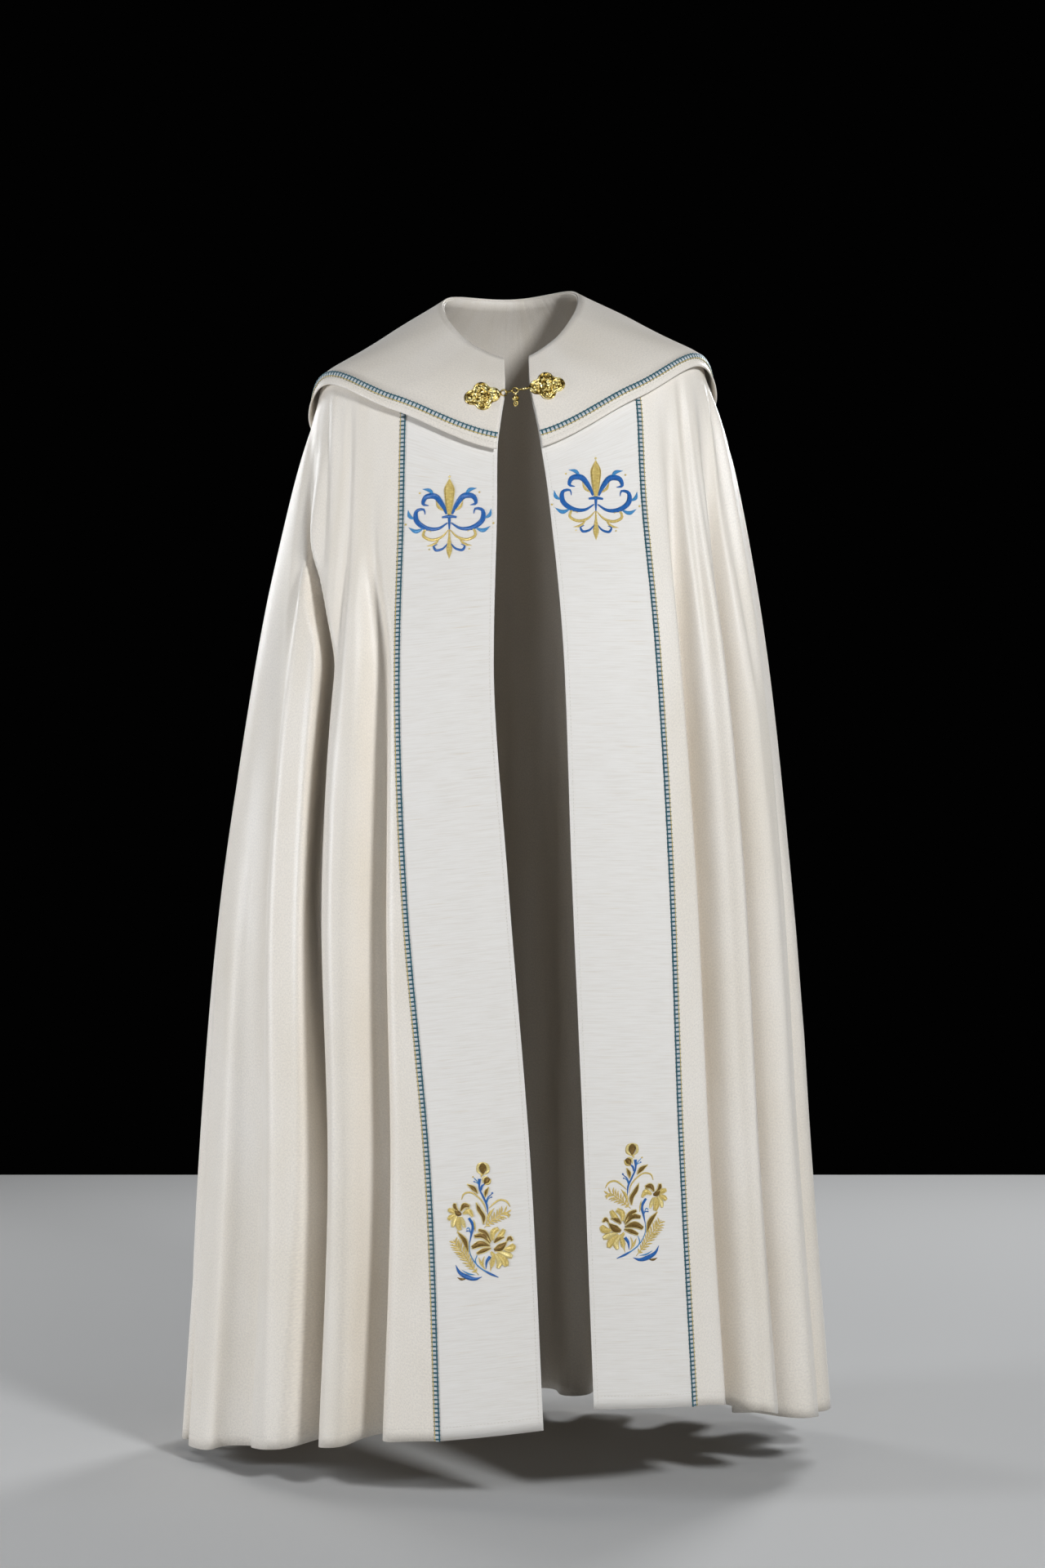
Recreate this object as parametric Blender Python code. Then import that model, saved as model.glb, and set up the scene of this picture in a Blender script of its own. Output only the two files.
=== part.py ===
"""Cope vestment, worn: a long open cloak with a wide round collar, two front bands and a clasp.

Metres, +Z up, the front faces -Y. "Left" is -X and "right" is +X, as a viewer in front sees them.
The origin is the middle of the neck opening, at the height of the sides of the neck.

All the cloth lies on one surface, cloth_point(u, level):
    level   0 at the neck seam to 8 at the hem, one whole number for each row of RINGS
    u       0 to 1 across the left front band, 1 to 2 round the body, 2 to 3 across the right band
The collar lies on the same rings, without the folds and a little farther out.
"""

import bmesh
import bpy
import numpy as np
from mathutils import Matrix, Vector

MM = 0.001

# Thicknesses and gaps
BODY_WALL = 2.0 * MM
BAND_WALL = 2.0 * MM
COLLAR_WALL = 2.4 * MM
BRAID_WALL = 1.0 * MM
SEAM_GAP = 0.3 * MM
BRAID_WIDTH = 8.5 * MM
BRAID_INSET = 21.0 * MM
BAND_BOW = 4.0 * MM

# The whole garment leans: the side at +X is carried higher by this much a metre
LEAN = 0.051
# The right band ends higher than the left one by twice this much at the hem
BAND_TWIST = 11.0 * MM
# That difference fades out over this share of the body next to each band
TWIST_FADE = 0.12
# At the hem a band's inner corner is this much higher than its seam
BAND_RISE = 13.0 * MM

# One row for each ring, from the neck seam to the hem.
# z_front, z_35, z_65, z_side and z_back are heights at 0, 35, 65, 90 and 180 degrees round from the front;
# y_front, y_wide and y_back place the front, the widest line and the back; point narrows the front half.
RINGS = [
    dict(name="neck", z_front=-0.088, z_35=-0.0645, z_65=-0.027, z_side=0.000, z_back=0.015,
         y_front=-0.100, y_wide=0.000, y_back=0.078, half_left=0.088, half_right=0.083, point=1.00),
    dict(name="slope", z_front=-0.125, z_35=-0.095, z_65=-0.055, z_side=-0.037, z_back=-0.045,
         y_front=-0.125, y_wide=0.000, y_back=0.122, half_left=0.155, half_right=0.155, point=1.00),
    dict(name="shoulder", z_front=-0.168, z_35=-0.122, z_65=-0.083, z_side=-0.089, z_back=-0.150,
         y_front=-0.143, y_wide=0.003, y_back=0.150, half_left=0.236, half_right=0.236, point=1.00),
    dict(name="tip", z_front=-0.212, z_35=-0.150, z_65=-0.105, z_side=-0.140, z_back=-0.270,
         y_front=-0.155, y_wide=0.006, y_back=0.172, half_left=0.2535, half_right=0.2535, point=1.00),
    dict(name="chest", z_front=-0.290, z_35=-0.260, z_65=-0.230, z_side=-0.235, z_back=-0.360,
         y_front=-0.172, y_wide=0.010, y_back=0.185, half_left=0.279, half_right=0.291, point=1.00),
    dict(name="elbow", z_front=-0.470, z_35=-0.470, z_65=-0.470, z_side=-0.470, z_back=-0.520,
         y_front=-0.215, y_wide=0.020, y_back=0.210, half_left=0.327, half_right=0.334, point=1.05),
    dict(name="hip", z_front=-0.750, z_35=-0.755, z_65=-0.760, z_side=-0.760, z_back=-0.790,
         y_front=-0.228, y_wide=0.050, y_back=0.260, half_left=0.374, half_right=0.365, point=1.15),
    dict(name="knee", z_front=-1.080, z_35=-1.090, z_65=-1.100, z_side=-1.105, z_back=-1.130,
         y_front=-0.231, y_wide=0.090, y_back=0.325, half_left=0.409, half_right=0.390, point=1.22),
    dict(name="hem", z_front=-1.404, z_35=-1.432, z_65=-1.455, z_side=-1.460, z_back=-1.472,
         y_front=-0.236, y_wide=0.130, y_back=0.395, half_left=0.438, half_right=0.420, point=1.30),
]

# X of the front bands' inner edges and outer seams, one row for each ring
BANDS = [
    dict(name="neck", edge_left=-0.0105, seam_left=-0.070, edge_right=0.0200, seam_right=0.066),
    dict(name="slope", edge_left=-0.0090, seam_left=-0.112, edge_right=0.0210, seam_right=0.118),
    dict(name="shoulder", edge_left=-0.0142, seam_left=-0.1345, edge_right=0.0290, seam_right=0.1430),
    dict(name="tip", edge_left=-0.0185, seam_left=-0.1360, edge_right=0.0360, seam_right=0.1565),
    dict(name="chest", edge_left=-0.0190, seam_left=-0.1380, edge_right=0.0468, seam_right=0.1632),
    dict(name="elbow", edge_left=-0.0225, seam_left=-0.1412, edge_right=0.0628, seam_right=0.1790),
    dict(name="hip", edge_left=-0.0040, seam_left=-0.1315, edge_right=0.0727, seam_right=0.1953),
    dict(name="knee", edge_left=0.0222, seam_left=-0.1030, edge_right=0.0868, seam_right=0.2073),
    dict(name="hem", edge_left=0.0380, seam_left=-0.0910, edge_right=0.0993, seam_right=0.2240),
]

# One row for each valley between two folds.
# side: "left" and "right" count degrees outwards from that band's seam, "back" from the front, clockwise
# seen from above. near and far are the valley's half widths in degrees on its low and high angle sides.
# chest, elbow, knee and hem are its depth in millimetres at those rings. pinch draws the mouth together;
# lean shifts the valley's floor towards higher angles, as a share of its width.
FOLDS = [
    dict(name="left_1", side="left", at_chest=10, at_elbow=5.3, at_knee=9.6, at_hem=11.8, near=5, far=6,
         chest=4, elbow=12, knee=36, hem=64, pinch=0.20, lean=0.0),
    dict(name="left_2", side="left", at_chest=36, at_elbow=20.8, at_knee=21.6, at_hem=23.6, near=4.6, far=5,
         chest=2, elbow=30, knee=50, hem=56, pinch=0.10, lean=0.0),
    dict(name="left_3", side="left", at_chest=50, at_elbow=38, at_knee=37.2, at_hem=37.2, near=7, far=14,
         chest=0, elbow=3, knee=12, hem=24, pinch=0.00, lean=0.0),
    dict(name="left_4", side="left", at_chest=66, at_elbow=60, at_knee=58.7, at_hem=58.0, near=6, far=6,
         chest=0, elbow=2, knee=9, hem=14, pinch=0.00, lean=0.0),
    dict(name="left_5", side="back", at_chest=104, at_elbow=102, at_knee=99.3, at_hem=98.0, near=10, far=9,
         chest=6, elbow=20, knee=52, hem=66, pinch=0.10, lean=0.0),
    dict(name="back_1", side="back", at_chest=124, at_elbow=122, at_knee=119.3, at_hem=118.0, near=9, far=8,
         chest=3, elbow=14, knee=48, hem=70, pinch=0.15, lean=0.1),
    dict(name="back_2", side="back", at_chest=141, at_elbow=139, at_knee=137.7, at_hem=137.0, near=8, far=9,
         chest=6, elbow=24, knee=58, hem=80, pinch=0.15, lean=0.0),
    dict(name="back_3", side="back", at_chest=158, at_elbow=157, at_knee=156.3, at_hem=156.0, near=8, far=8,
         chest=3, elbow=14, knee=46, hem=66, pinch=0.15, lean=-0.1),
    dict(name="back_4", side="back", at_chest=175, at_elbow=175, at_knee=174.3, at_hem=174.0, near=8, far=9,
         chest=7, elbow=26, knee=60, hem=82, pinch=0.15, lean=0.0),
    dict(name="back_5", side="back", at_chest=193, at_elbow=193, at_knee=192.3, at_hem=192.0, near=8, far=8,
         chest=3, elbow=13, knee=46, hem=68, pinch=0.15, lean=0.1),
    dict(name="back_6", side="back", at_chest=210, at_elbow=211, at_knee=211, at_hem=211.0, near=8, far=9,
         chest=6, elbow=23, knee=56, hem=78, pinch=0.15, lean=0.0),
    dict(name="back_7", side="back", at_chest=229, at_elbow=230, at_knee=230.7, at_hem=231.0, near=9, far=8,
         chest=3, elbow=15, knee=48, hem=70, pinch=0.10, lean=-0.1),
    dict(name="back_8", side="back", at_chest=248, at_elbow=250, at_knee=251.3, at_hem=252.0, near=9, far=9,
         chest=6, elbow=20, knee=48, hem=62, pinch=0.10, lean=0.0),
    dict(name="right_4", side="right", at_chest=64, at_elbow=62, at_knee=60.7, at_hem=60.0, near=8, far=8,
         chest=2, elbow=6, knee=18, hem=28, pinch=0.00, lean=0.0),
    dict(name="right_3", side="right", at_chest=44, at_elbow=43.5, at_knee=43.5, at_hem=43.5, near=6, far=8,
         chest=2, elbow=10, knee=34, hem=48, pinch=0.10, lean=0.20),
    dict(name="right_2", side="right", at_chest=27, at_elbow=24.5, at_knee=25.9, at_hem=26.6, near=6, far=8,
         chest=8, elbow=24, knee=40, hem=54, pinch=0.15, lean=0.20),
    dict(name="right_1", side="right", at_chest=10, at_elbow=9.5, at_knee=10.4, at_hem=10.8, near=5, far=6,
         chest=5, elbow=16, knee=30, hem=38, pinch=0.20, lean=0.0),
]

# How far a fold's walls stand up between its round floor and its round ridge, from 0 to 1
FOLD_ROUNDNESS = 0.75
# Degrees to each side over which the ring's direction is taken, where a fold moves it
FOLD_REACH = 1.5

# The body is cut in three gores, joined in two of the valleys
LEFT_JOIN = "left_5"
RIGHT_JOIN = "back_8"

# Where the rows of the cloth's grid lie, in levels
BODY_ROWS = [0, 0.6, 1.3, 2.1, 3, 3.5, 4, 4.5, 5, 5.5, 6, 6.4, 6.8, 7.2, 7.6, 8]
LEFT_COLUMNS = 42
BACK_COLUMNS = 56
RIGHT_COLUMNS = 38
BAND_COLUMNS = 4
COLLAR_COLUMNS = 50
# Columns are evenly spaced along the cloth's length at these levels, and the collar's at its own
SPACING_LEVELS = [6.5, 7.6]
COLLAR_SPACING_LEVELS = [2.6]
# The collar's rows above its braid, as shares of the way from the neck seam to the braid
COLLAR_ROWS = [0, 0.22, 0.45, 0.7, 0.86]

# How far the collar's middle surface stands out from the rings, from the neck to its edge
COLLAR_LIFT = [2.9 * MM, 6.5 * MM, 7.0 * MM, 9.0 * MM]
# It stands out away from a point this far below each point's own height
LIFT_CENTRE_DROP = 0.12

# Clasp. The plaques' middles are X and Z on the collar.
PLAQUE_LEFT_AT = (-0.0376, -0.1366)
PLAQUE_RIGHT_AT = (0.0427, -0.1231)
PLAQUE_HALF_WIDTH = 22.5 * MM
PLAQUE_HALF_HEIGHT = 20.0 * MM
PLAQUE_BACK = 1.2 * MM
PLAQUE_TURN = 9.0
PLAQUE_SEGMENTS = 40
# Rings of a plaque's face, as shares of the way from its middle to its edge
PLAQUE_SHARES = [0.10, 0.19, 0.27, 0.42, 0.56, 0.70, 0.82, 0.92, 1.0]
# The lobes' radius and the middle disc's, as shares of the plaque's half size
LOBE_RADIUS = 0.47
DISC_RADIUS = 0.62
# Height and radius of a plaque's dome, rim, middle boss and lobe bosses
DOME_HEIGHT = 1.0 * MM
RIM_HEIGHT = 0.7 * MM
BOSS_HEIGHT = 1.9 * MM
BOSS_RADIUS = 4.2 * MM
LOBE_BOSS_HEIGHT = 1.1 * MM
LOBE_BOSS_RADIUS = 3.6 * MM
# Half length and half width of the wire loops, where the neighbours don't give them
WIRE = 0.6 * MM
JOINER_HALF_WIDTH = 2.6 * MM
HOOK_HALF_WIDTH = 1.8 * MM
HOOK_OVERLAP = 1.5 * MM
EYE_HALF_LENGTH = 1.9 * MM
EYE_HALF_WIDTH = 1.8 * MM
RING_RADIUS = 3.75 * MM
LINK_RADIUS = 3.4 * MM
LINK_FROM_PLAQUE = 18.8 * MM
BAR_LENGTH = 10.5 * MM
BAR_RADIUS = 1.9 * MM
BAR_END_RADIUS = 0.9 * MM
BAR_TAPER = 1.0 * MM
CHARM_BALL = 4.3 * MM
# The charm's drop under its ball: distance from its top and radius, in millimetres
CHARM_DROP = [(0.0, 0.8), (2.0, 2.3), (4.5, 2.9), (6.5, 2.2), (7.6, 0.6)]
# The ball starts this far inside its eye, and the drop this far inside the ball
BALL_OVERLAP = 0.5 * MM
DROP_OVERLAP = 1.2 * MM

COLOURS = {
    "cloth": (0.80, 0.76, 0.66, 1.0),
    "band": (0.78, 0.75, 0.68, 1.0),
    "braid": (0.10, 0.32, 0.48, 1.0),
    "gold": (0.80, 0.58, 0.20, 1.0),
}


def through(knots, values, at):
    """Smooth curve through values at the knots: a cubic between each two, sloped like its neighbours.

    A single row of values is also kept from overshooting: no slope is steeper than three times either side's.
    """
    knots = np.asarray(knots, float)
    values = np.asarray(values, float)
    at = np.asarray(at, float)
    slopes = np.gradient(values, knots, axis=0)
    if values.ndim == 1:
        rises = np.diff(values) / np.diff(knots)
        before = np.concatenate([rises[:1], rises])
        after = np.concatenate([rises, rises[-1:]])
        limit = 3 * np.where(before * after > 0, np.minimum(np.abs(before), np.abs(after)), 0)
        slopes = np.clip(slopes, -limit, limit)
    index = np.clip(np.searchsorted(knots, at, side="right") - 1, 0, len(knots) - 2)
    width = knots[index + 1] - knots[index]
    t = (at - knots[index]) / width
    if values.ndim > 1:
        t = t[..., None]
        width = width[..., None]
    rise = t * t * (3 - 2 * t)
    return (values[index] * (1 - rise) + values[index + 1] * rise
            + slopes[index] * width * t * (1 - t) ** 2 - slopes[index + 1] * width * t * t * (1 - t))


def ease(t):
    """Nought below 0, one above 1, and a smooth step between."""
    t = np.clip(t, 0, 1)
    return t * t * (3 - 2 * t)


def unit(vectors):
    """The vectors, each one long."""
    return vectors / np.linalg.norm(vectors, axis=-1, keepdims=True)


def at_level(table, column, level):
    """A table's column, read at any level between its rows."""
    return through(np.arange(len(table)), [row[column] for row in table], level)


def front_middle(level):
    """X of the ring's foremost point: the middle of the gap between the bands."""
    return (at_level(BANDS, "edge_left", level) + at_level(BANDS, "edge_right", level)) / 2


def front_angle(side, x, level):
    """Angle from the front at which the ring's front half has this X on its own side, in degrees."""
    outward = -1 if side == "left" else 1
    middle = outward * front_middle(level)
    half = at_level(RINGS, "half_" + side, level)
    share = np.clip((outward * x - middle) / (half - middle), 0, 1)
    return np.degrees(np.arcsin(share ** (1 / at_level(RINGS, "point", level))))


def seam_angle(side, level):
    """Angle round the ring, from the front, at which a band's seam lies, in degrees."""
    return front_angle(side, at_level(BANDS, "seam_" + side, level), level)


def ring_plan(angle, level):
    """X and Y of the ring, folds left out, at an angle in degrees clockwise from the front."""
    turn = np.radians(angle)
    sine = np.sin(turn)
    cosine = np.cos(turn)
    left = at_level(RINGS, "half_left", level)
    right = at_level(RINGS, "half_right", level)
    half = left + (right - left) * ease((angle - 90) / 180)
    wide = at_level(RINGS, "y_wide", level)
    front = at_level(RINGS, "y_front", level)
    back = at_level(RINGS, "y_back", level)
    middle = front_middle(level)
    side = -np.sign(sine)
    share = np.abs(sine) ** at_level(RINGS, "point", level)
    x = np.where(cosine > 0, middle + (side * half - middle) * share, -half * sine)
    y = wide + np.where(cosine > 0, front - wide, back - wide) * np.abs(cosine)
    return x, y


def ring_height(angle, level):
    """Z of the ring at an angle: flat across the bands lower down, through five heights on each side."""
    around = np.where(angle > 180, 360 - angle, angle)
    seam = np.where(angle > 180, seam_angle("right", level), seam_angle("left", level))
    past_seam = np.clip(90 * (around - seam) / (90 - seam), 0, None)
    past_seam = np.where(around < 90, past_seam, around)
    station = around + (past_seam - around) * ease((np.asarray(level) - 3) / 2)
    knots = [-35, 0, 35, 65, 90, 180, 270]
    share = through(knots, np.eye(len(knots)), station)
    columns = ["z_35", "z_front", "z_35", "z_65", "z_side", "z_back", "z_side"]
    heights = np.stack([at_level(RINGS, column, level) + 0 * station for column in columns], axis=-1)
    return np.sum(share * heights, axis=-1)


def fold_angle(fold, level):
    """Angle of a valley's floor, in degrees clockwise from the front."""
    own = through([3, 4, 5, 7, 8],
                  [fold["at_chest"], fold["at_chest"], fold["at_elbow"], fold["at_knee"], fold["at_hem"]],
                  np.clip(level, 3, 8))
    if fold["side"] == "left":
        return seam_angle("left", level) + own
    if fold["side"] == "right":
        return 360 - seam_angle("right", level) - own
    return own


def fold_depth(fold, level):
    """Depth of a valley in metres, nothing above the collar's edge."""
    return MM * np.clip(through([0, 3, 4, 5, 7, 8],
                                [0, 0, fold["chest"], fold["elbow"], fold["knee"], fold["hem"]],
                                level), 0, None)


def folded_plan(angle, level):
    """X and Y of the folded cloth: each valley moves the ring inwards and draws its walls together."""
    x, y = ring_plan(angle, level)
    x_ahead, y_ahead = ring_plan(angle + FOLD_REACH, level)
    x_behind, y_behind = ring_plan(angle - FOLD_REACH, level)
    along_x = (x_ahead - x_behind) / (2 * FOLD_REACH)
    along_y = (y_ahead - y_behind) / (2 * FOLD_REACH)
    per_degree = np.hypot(along_x, along_y)
    along_x = along_x / per_degree
    along_y = along_y / per_degree
    inward = np.zeros_like(x)
    sideways = np.zeros_like(x)
    for fold in FOLDS:
        away = angle - fold_angle(fold, level)
        width = np.where(away < 0, fold["near"], fold["far"])
        if fold["side"] == "right":
            width = np.where(away > 0, fold["near"], fold["far"])
        a = np.clip(away / width, -1, 1)
        depth = fold_depth(fold, level)
        strength = depth / (MM * fold["hem"])
        hollow = (1 + np.cos(np.pi * a)) / 2
        inward = inward + depth * hollow
        lean = fold["lean"] * hollow * (fold["near"] + fold["far"]) / 2
        walls = FOLD_ROUNDNESS * np.sin(2 * np.pi * a) / 2 - fold["pinch"] * np.sin(np.pi * a)
        sideways = sideways + strength * per_degree * (lean + width * walls / np.pi)
    x = x + along_x * sideways + along_y * inward
    y = y + along_y * sideways - along_x * inward
    return x, y


def clockwise(side, angle):
    """An angle from the front on one side, as an angle clockwise from the front."""
    return angle if side == "left" else 360 - angle


def band_point(side, across, level):
    """A front band, from its inner edge (across 0) to its seam (across 1).

    Down to the collar's edge it follows the ring; from the elbow down it is nearly flat, bowed by BAND_BOW.
    """
    edge_x = at_level(BANDS, "edge_" + side, level)
    seam_turn = clockwise(side, seam_angle(side, level))
    edge_turn = clockwise(side, front_angle(side, edge_x, level))
    seam_x, seam_y = folded_plan(seam_turn, level)
    x = edge_x + (seam_x - edge_x) * across
    here_turn = clockwise(side, front_angle(side, x, level))
    flat = ease((level - 2.5) / 2)
    edge_y = ring_plan(edge_turn, level)[1]
    flat_y = edge_y + (seam_y - edge_y) * across - BAND_BOW * np.sin(np.pi * across)
    y = flat_y * flat + ring_plan(here_turn, level)[1] * (1 - flat)
    flat_z = ring_height(edge_turn, level) * (1 - across) + ring_height(seam_turn, level) * across
    z = flat_z * flat + ring_height(here_turn, level) * (1 - flat)
    z = z + BAND_RISE * (1 - across) * (level / 8) ** 2
    return x, y, z


def cloth_point(u, level):
    """Middle surface of the garment's cloth, as an array of points; see the top of the script."""
    u, level = np.broadcast_arrays(np.asarray(u, float), np.asarray(level, float))
    left = band_point("left", np.clip(u, 0, 1), level)
    right = band_point("right", np.clip(3 - u, 0, 1), level)
    start = seam_angle("left", level)
    end = 360 - seam_angle("right", level)
    angle = start + (end - start) * np.clip(u - 1, 0, 1)
    body_x, body_y = folded_plan(angle, level)
    body_z = ring_height(angle, level)
    x = np.where(u < 1, left[0], np.where(u > 2, right[0], body_x))
    y = np.where(u < 1, left[1], np.where(u > 2, right[1], body_y))
    z = np.where(u < 1, left[2], np.where(u > 2, right[2], body_z))
    near_band = ease((np.abs(u - 1.5) - 0.5 + TWIST_FADE) / TWIST_FADE)
    z = z + BAND_TWIST * np.sign(u - 1.5) * near_band * (level / 8) ** 2
    z = z + LEAN * x
    return np.stack([x, y, z], axis=-1)


def collar_point(across, level):
    """Middle surface of the collar, from its left front edge (across 0) round the back to the right one (1)."""
    across, level = np.broadcast_arrays(np.asarray(across, float), np.asarray(level, float))
    start = front_angle("left", at_level(BANDS, "edge_left", level), level)
    end = 360 - front_angle("right", at_level(BANDS, "edge_right", level), level)
    angle = start + (end - start) * across
    x, y = ring_plan(angle, level)
    lift = through([0, 1, 2, 3], COLLAR_LIFT, level)
    rise = ring_height(angle, level)
    out = unit(np.stack([x, y - at_level(RINGS, "y_wide", level), LIFT_CENTRE_DROP + 0 * x], axis=-1))
    return np.stack([x, y, rise + LEAN * x], axis=-1) + out * lift[..., None]


def along_surface(surface, u, v, distance, step=0.0002):
    """The change in u that moves a point this far across the surface."""
    side = np.sign(distance)
    pace = np.linalg.norm(surface(u + side * step, v) - surface(u, v), axis=-1) / step
    return distance / pace


def normals_of(surface, u, v, reach=0.6 * MM, step_v=0.005):
    """Unit normals of a surface function, outwards; on a seam, halfway between its two sides."""
    here = surface(u, v)
    ahead = unit(surface(u + along_surface(surface, u, v, reach), v) - here)
    behind = unit(here - surface(u + along_surface(surface, u, v, -reach), v))
    down = surface(u, v + step_v) - surface(u, v - step_v)
    return unit(np.cross(ahead + behind, down))


def material(name):
    """Principled material in one of the COLOURS."""
    made = bpy.data.materials.new(name)
    made.use_nodes = True
    shader = made.node_tree.nodes["Principled BSDF"]
    shader.inputs["Base Color"].default_value = COLOURS[name.split("_on_")[0]]
    is_gold = name.startswith("gold")
    shader.inputs["Metallic"].default_value = 1.0 if is_gold else 0.0
    shader.inputs["Roughness"].default_value = 0.3 if is_gold else 0.6
    return made


def add_object(name, vertices, faces, kind):
    """Object from a vertex array and a list of faces, its normals turned outwards."""
    mesh = bpy.data.meshes.new(name)
    mesh.from_pydata([tuple(point) for point in vertices], [], faces)
    shape = bmesh.new()
    shape.from_mesh(mesh)
    bmesh.ops.recalc_face_normals(shape, faces=shape.faces)
    shape.to_mesh(mesh)
    shape.free()
    mesh.materials.append(material(kind + "_on_" + name))
    made = bpy.data.objects.new(name, mesh)
    bpy.context.scene.collection.objects.link(made)
    return made


def wall(name, middle, normals, thickness, kind):
    """Closed wall of cloth on a grid of middle points (rows, columns): two faces and a rim.

    Every quad is cut along the same diagonal, so that two walls side by side, or one on the other,
    stay parallel where their faces twist.
    """
    rows, columns = middle.shape[:2]
    outer = (middle + normals * thickness / 2).reshape(-1, 3)
    inner = (middle - normals * thickness / 2).reshape(-1, 3)
    index = np.arange(rows * columns).reshape(rows, columns)
    here = index[:-1, :-1].ravel()
    right = index[:-1, 1:].ravel()
    low = index[1:, :-1].ravel()
    far = index[1:, 1:].ravel()
    front = np.concatenate([np.stack([here, right, far], axis=-1), np.stack([here, far, low], axis=-1)])
    rim = np.concatenate([index[0, :-1], index[:-1, -1], index[-1, :0:-1], index[:0:-1, 0]])
    ahead = np.roll(rim, -1)
    back = index.size
    first = np.where(rim < ahead, ahead + back, ahead)
    second = np.where(rim < ahead, rim, rim + back)
    sides = np.concatenate([np.stack([rim, rim + back, first], axis=-1),
                            np.stack([second, ahead + back, ahead], axis=-1)])
    faces = np.concatenate([front, front[:, ::-1] + back, sides]).tolist()
    return add_object(name, np.concatenate([outer, inner]), faces, kind)


def even_columns(surface, start, end, count, levels):
    """Values of u between start and end, evenly spaced along the surface's length at these levels."""
    fine = np.linspace(start, end, 1200)
    length = np.zeros(len(fine))
    for level in levels:
        points = surface(fine, level + 0 * fine)
        length[1:] += np.cumsum(np.linalg.norm(np.diff(points, axis=0), axis=-1))
    return np.interp(np.linspace(0, length[-1], count), length, fine)


def valley_u(name):
    """Value of u along which the cloth is cut at a valley, one for each level of BODY_ROWS."""
    fold = next(fold for fold in FOLDS if fold["name"] == name)
    level = np.asarray(BODY_ROWS, float)
    start = seam_angle("left", level)
    end = 360 - seam_angle("right", level)
    return 1 + (fold_angle(fold, level) - start) / (end - start)


def cloth_panel(name, start, end, count, thickness, kind, start_braid=False, end_braid=False):
    """A panel of the cloth between two lines of u, half a seam's gap in from each.

    The columns are spaced at the third row from the hem. One more is added under a braid's edge, so that
    the braid lies on the panel's own faces.
    """
    level = np.asarray(BODY_ROWS, float)
    start = start + 0 * level
    end = end + 0 * level
    middle_start = start[-3]
    middle_end = end[-3]
    even = even_columns(cloth_point, middle_start + 1e-6, middle_end - 1e-6, count, SPACING_LEVELS)
    share = (even - middle_start) / (middle_end - middle_start)
    first = start + (along_surface(cloth_point, start, level, SEAM_GAP / 2) if start[0] > 0 else 0)
    last = end + (along_surface(cloth_point, end, level, -SEAM_GAP / 2) if end[0] < 3 else 0)
    u = first[:, None] + (last - first)[:, None] * share[None, :]
    if start_braid:
        under = start + along_surface(cloth_point, start, level, BRAID_WIDTH / 2)
        u = np.concatenate([u[:, :1], under[:, None], u[:, 1:]], axis=1)
    if end_braid:
        under = end + along_surface(cloth_point, end, level, -BRAID_WIDTH / 2)
        u = np.concatenate([u[:, :-1], under[:, None], u[:, -1:]], axis=1)
    v = level[:, None] + 0 * u
    return wall(name, cloth_point(u, v), normals_of(cloth_point, u, v), thickness, kind)


def seam_braid(name, seam):
    """A braid over a band's seam, in points of the cloth moved out, from under the collar to the hem."""
    level = np.asarray([row for row in BODY_ROWS if row >= 2], float)
    seam = seam + 0 * level
    u = np.stack([seam + along_surface(cloth_point, seam, level, -BRAID_WIDTH / 2),
                  seam,
                  seam + along_surface(cloth_point, seam, level, BRAID_WIDTH / 2)], axis=1)
    v = level[:, None] + 0 * u
    normals = normals_of(cloth_point, u, v)
    lift = BAND_WALL / 2 + SEAM_GAP + BRAID_WALL / 2
    return wall(name, cloth_point(u, v) + normals * lift, normals, BRAID_WALL, "braid")


def collar_rows(across):
    """Levels of the collar's rows at each column, with one under each edge of the braid."""
    edge = 3 + 0 * across
    pace = np.linalg.norm(collar_point(across, edge) - collar_point(across, edge - 0.05), axis=-1) / 0.05
    low = edge - (BRAID_INSET - BRAID_WIDTH / 2) / pace
    high = edge - (BRAID_INSET + BRAID_WIDTH / 2) / pace
    upper = [row * high for row in COLLAR_ROWS]
    return np.stack(upper + [high, low, edge])


def collar_and_braid():
    """The collar's wall, and the braid on it between two of the collar's own rows."""
    across = even_columns(collar_point, 0, 1, COLLAR_COLUMNS, COLLAR_SPACING_LEVELS)
    levels = collar_rows(across)
    u = across[None, :] + 0 * levels
    middle = collar_point(u, levels)
    normals = normals_of(collar_point, u, levels)
    wall("collar", middle, normals, COLLAR_WALL, "cloth")
    lift = COLLAR_WALL / 2 + SEAM_GAP + BRAID_WALL / 2
    wall("braid_collar", middle[-3:-1] + normals[-3:-1] * lift, normals[-3:-1], BRAID_WALL, "braid")


def plaque_outline(turn):
    """Distance from a plaque's centre to its edge: the farthest of four round lobes and a middle disc."""
    reach = np.full_like(turn, DISC_RADIUS * PLAQUE_HALF_WIDTH)
    for quarter in range(4):
        half = PLAQUE_HALF_WIDTH if quarter % 2 == 0 else PLAQUE_HALF_HEIGHT
        radius = LOBE_RADIUS * half
        away = half - radius
        facing = away * np.cos(turn - quarter * np.pi / 2)
        inside = radius ** 2 - away ** 2 + facing ** 2
        far = facing + np.sqrt(np.clip(inside, 0, None))
        reach = np.where(inside > 0, np.maximum(reach, far), reach)
    return reach


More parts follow.
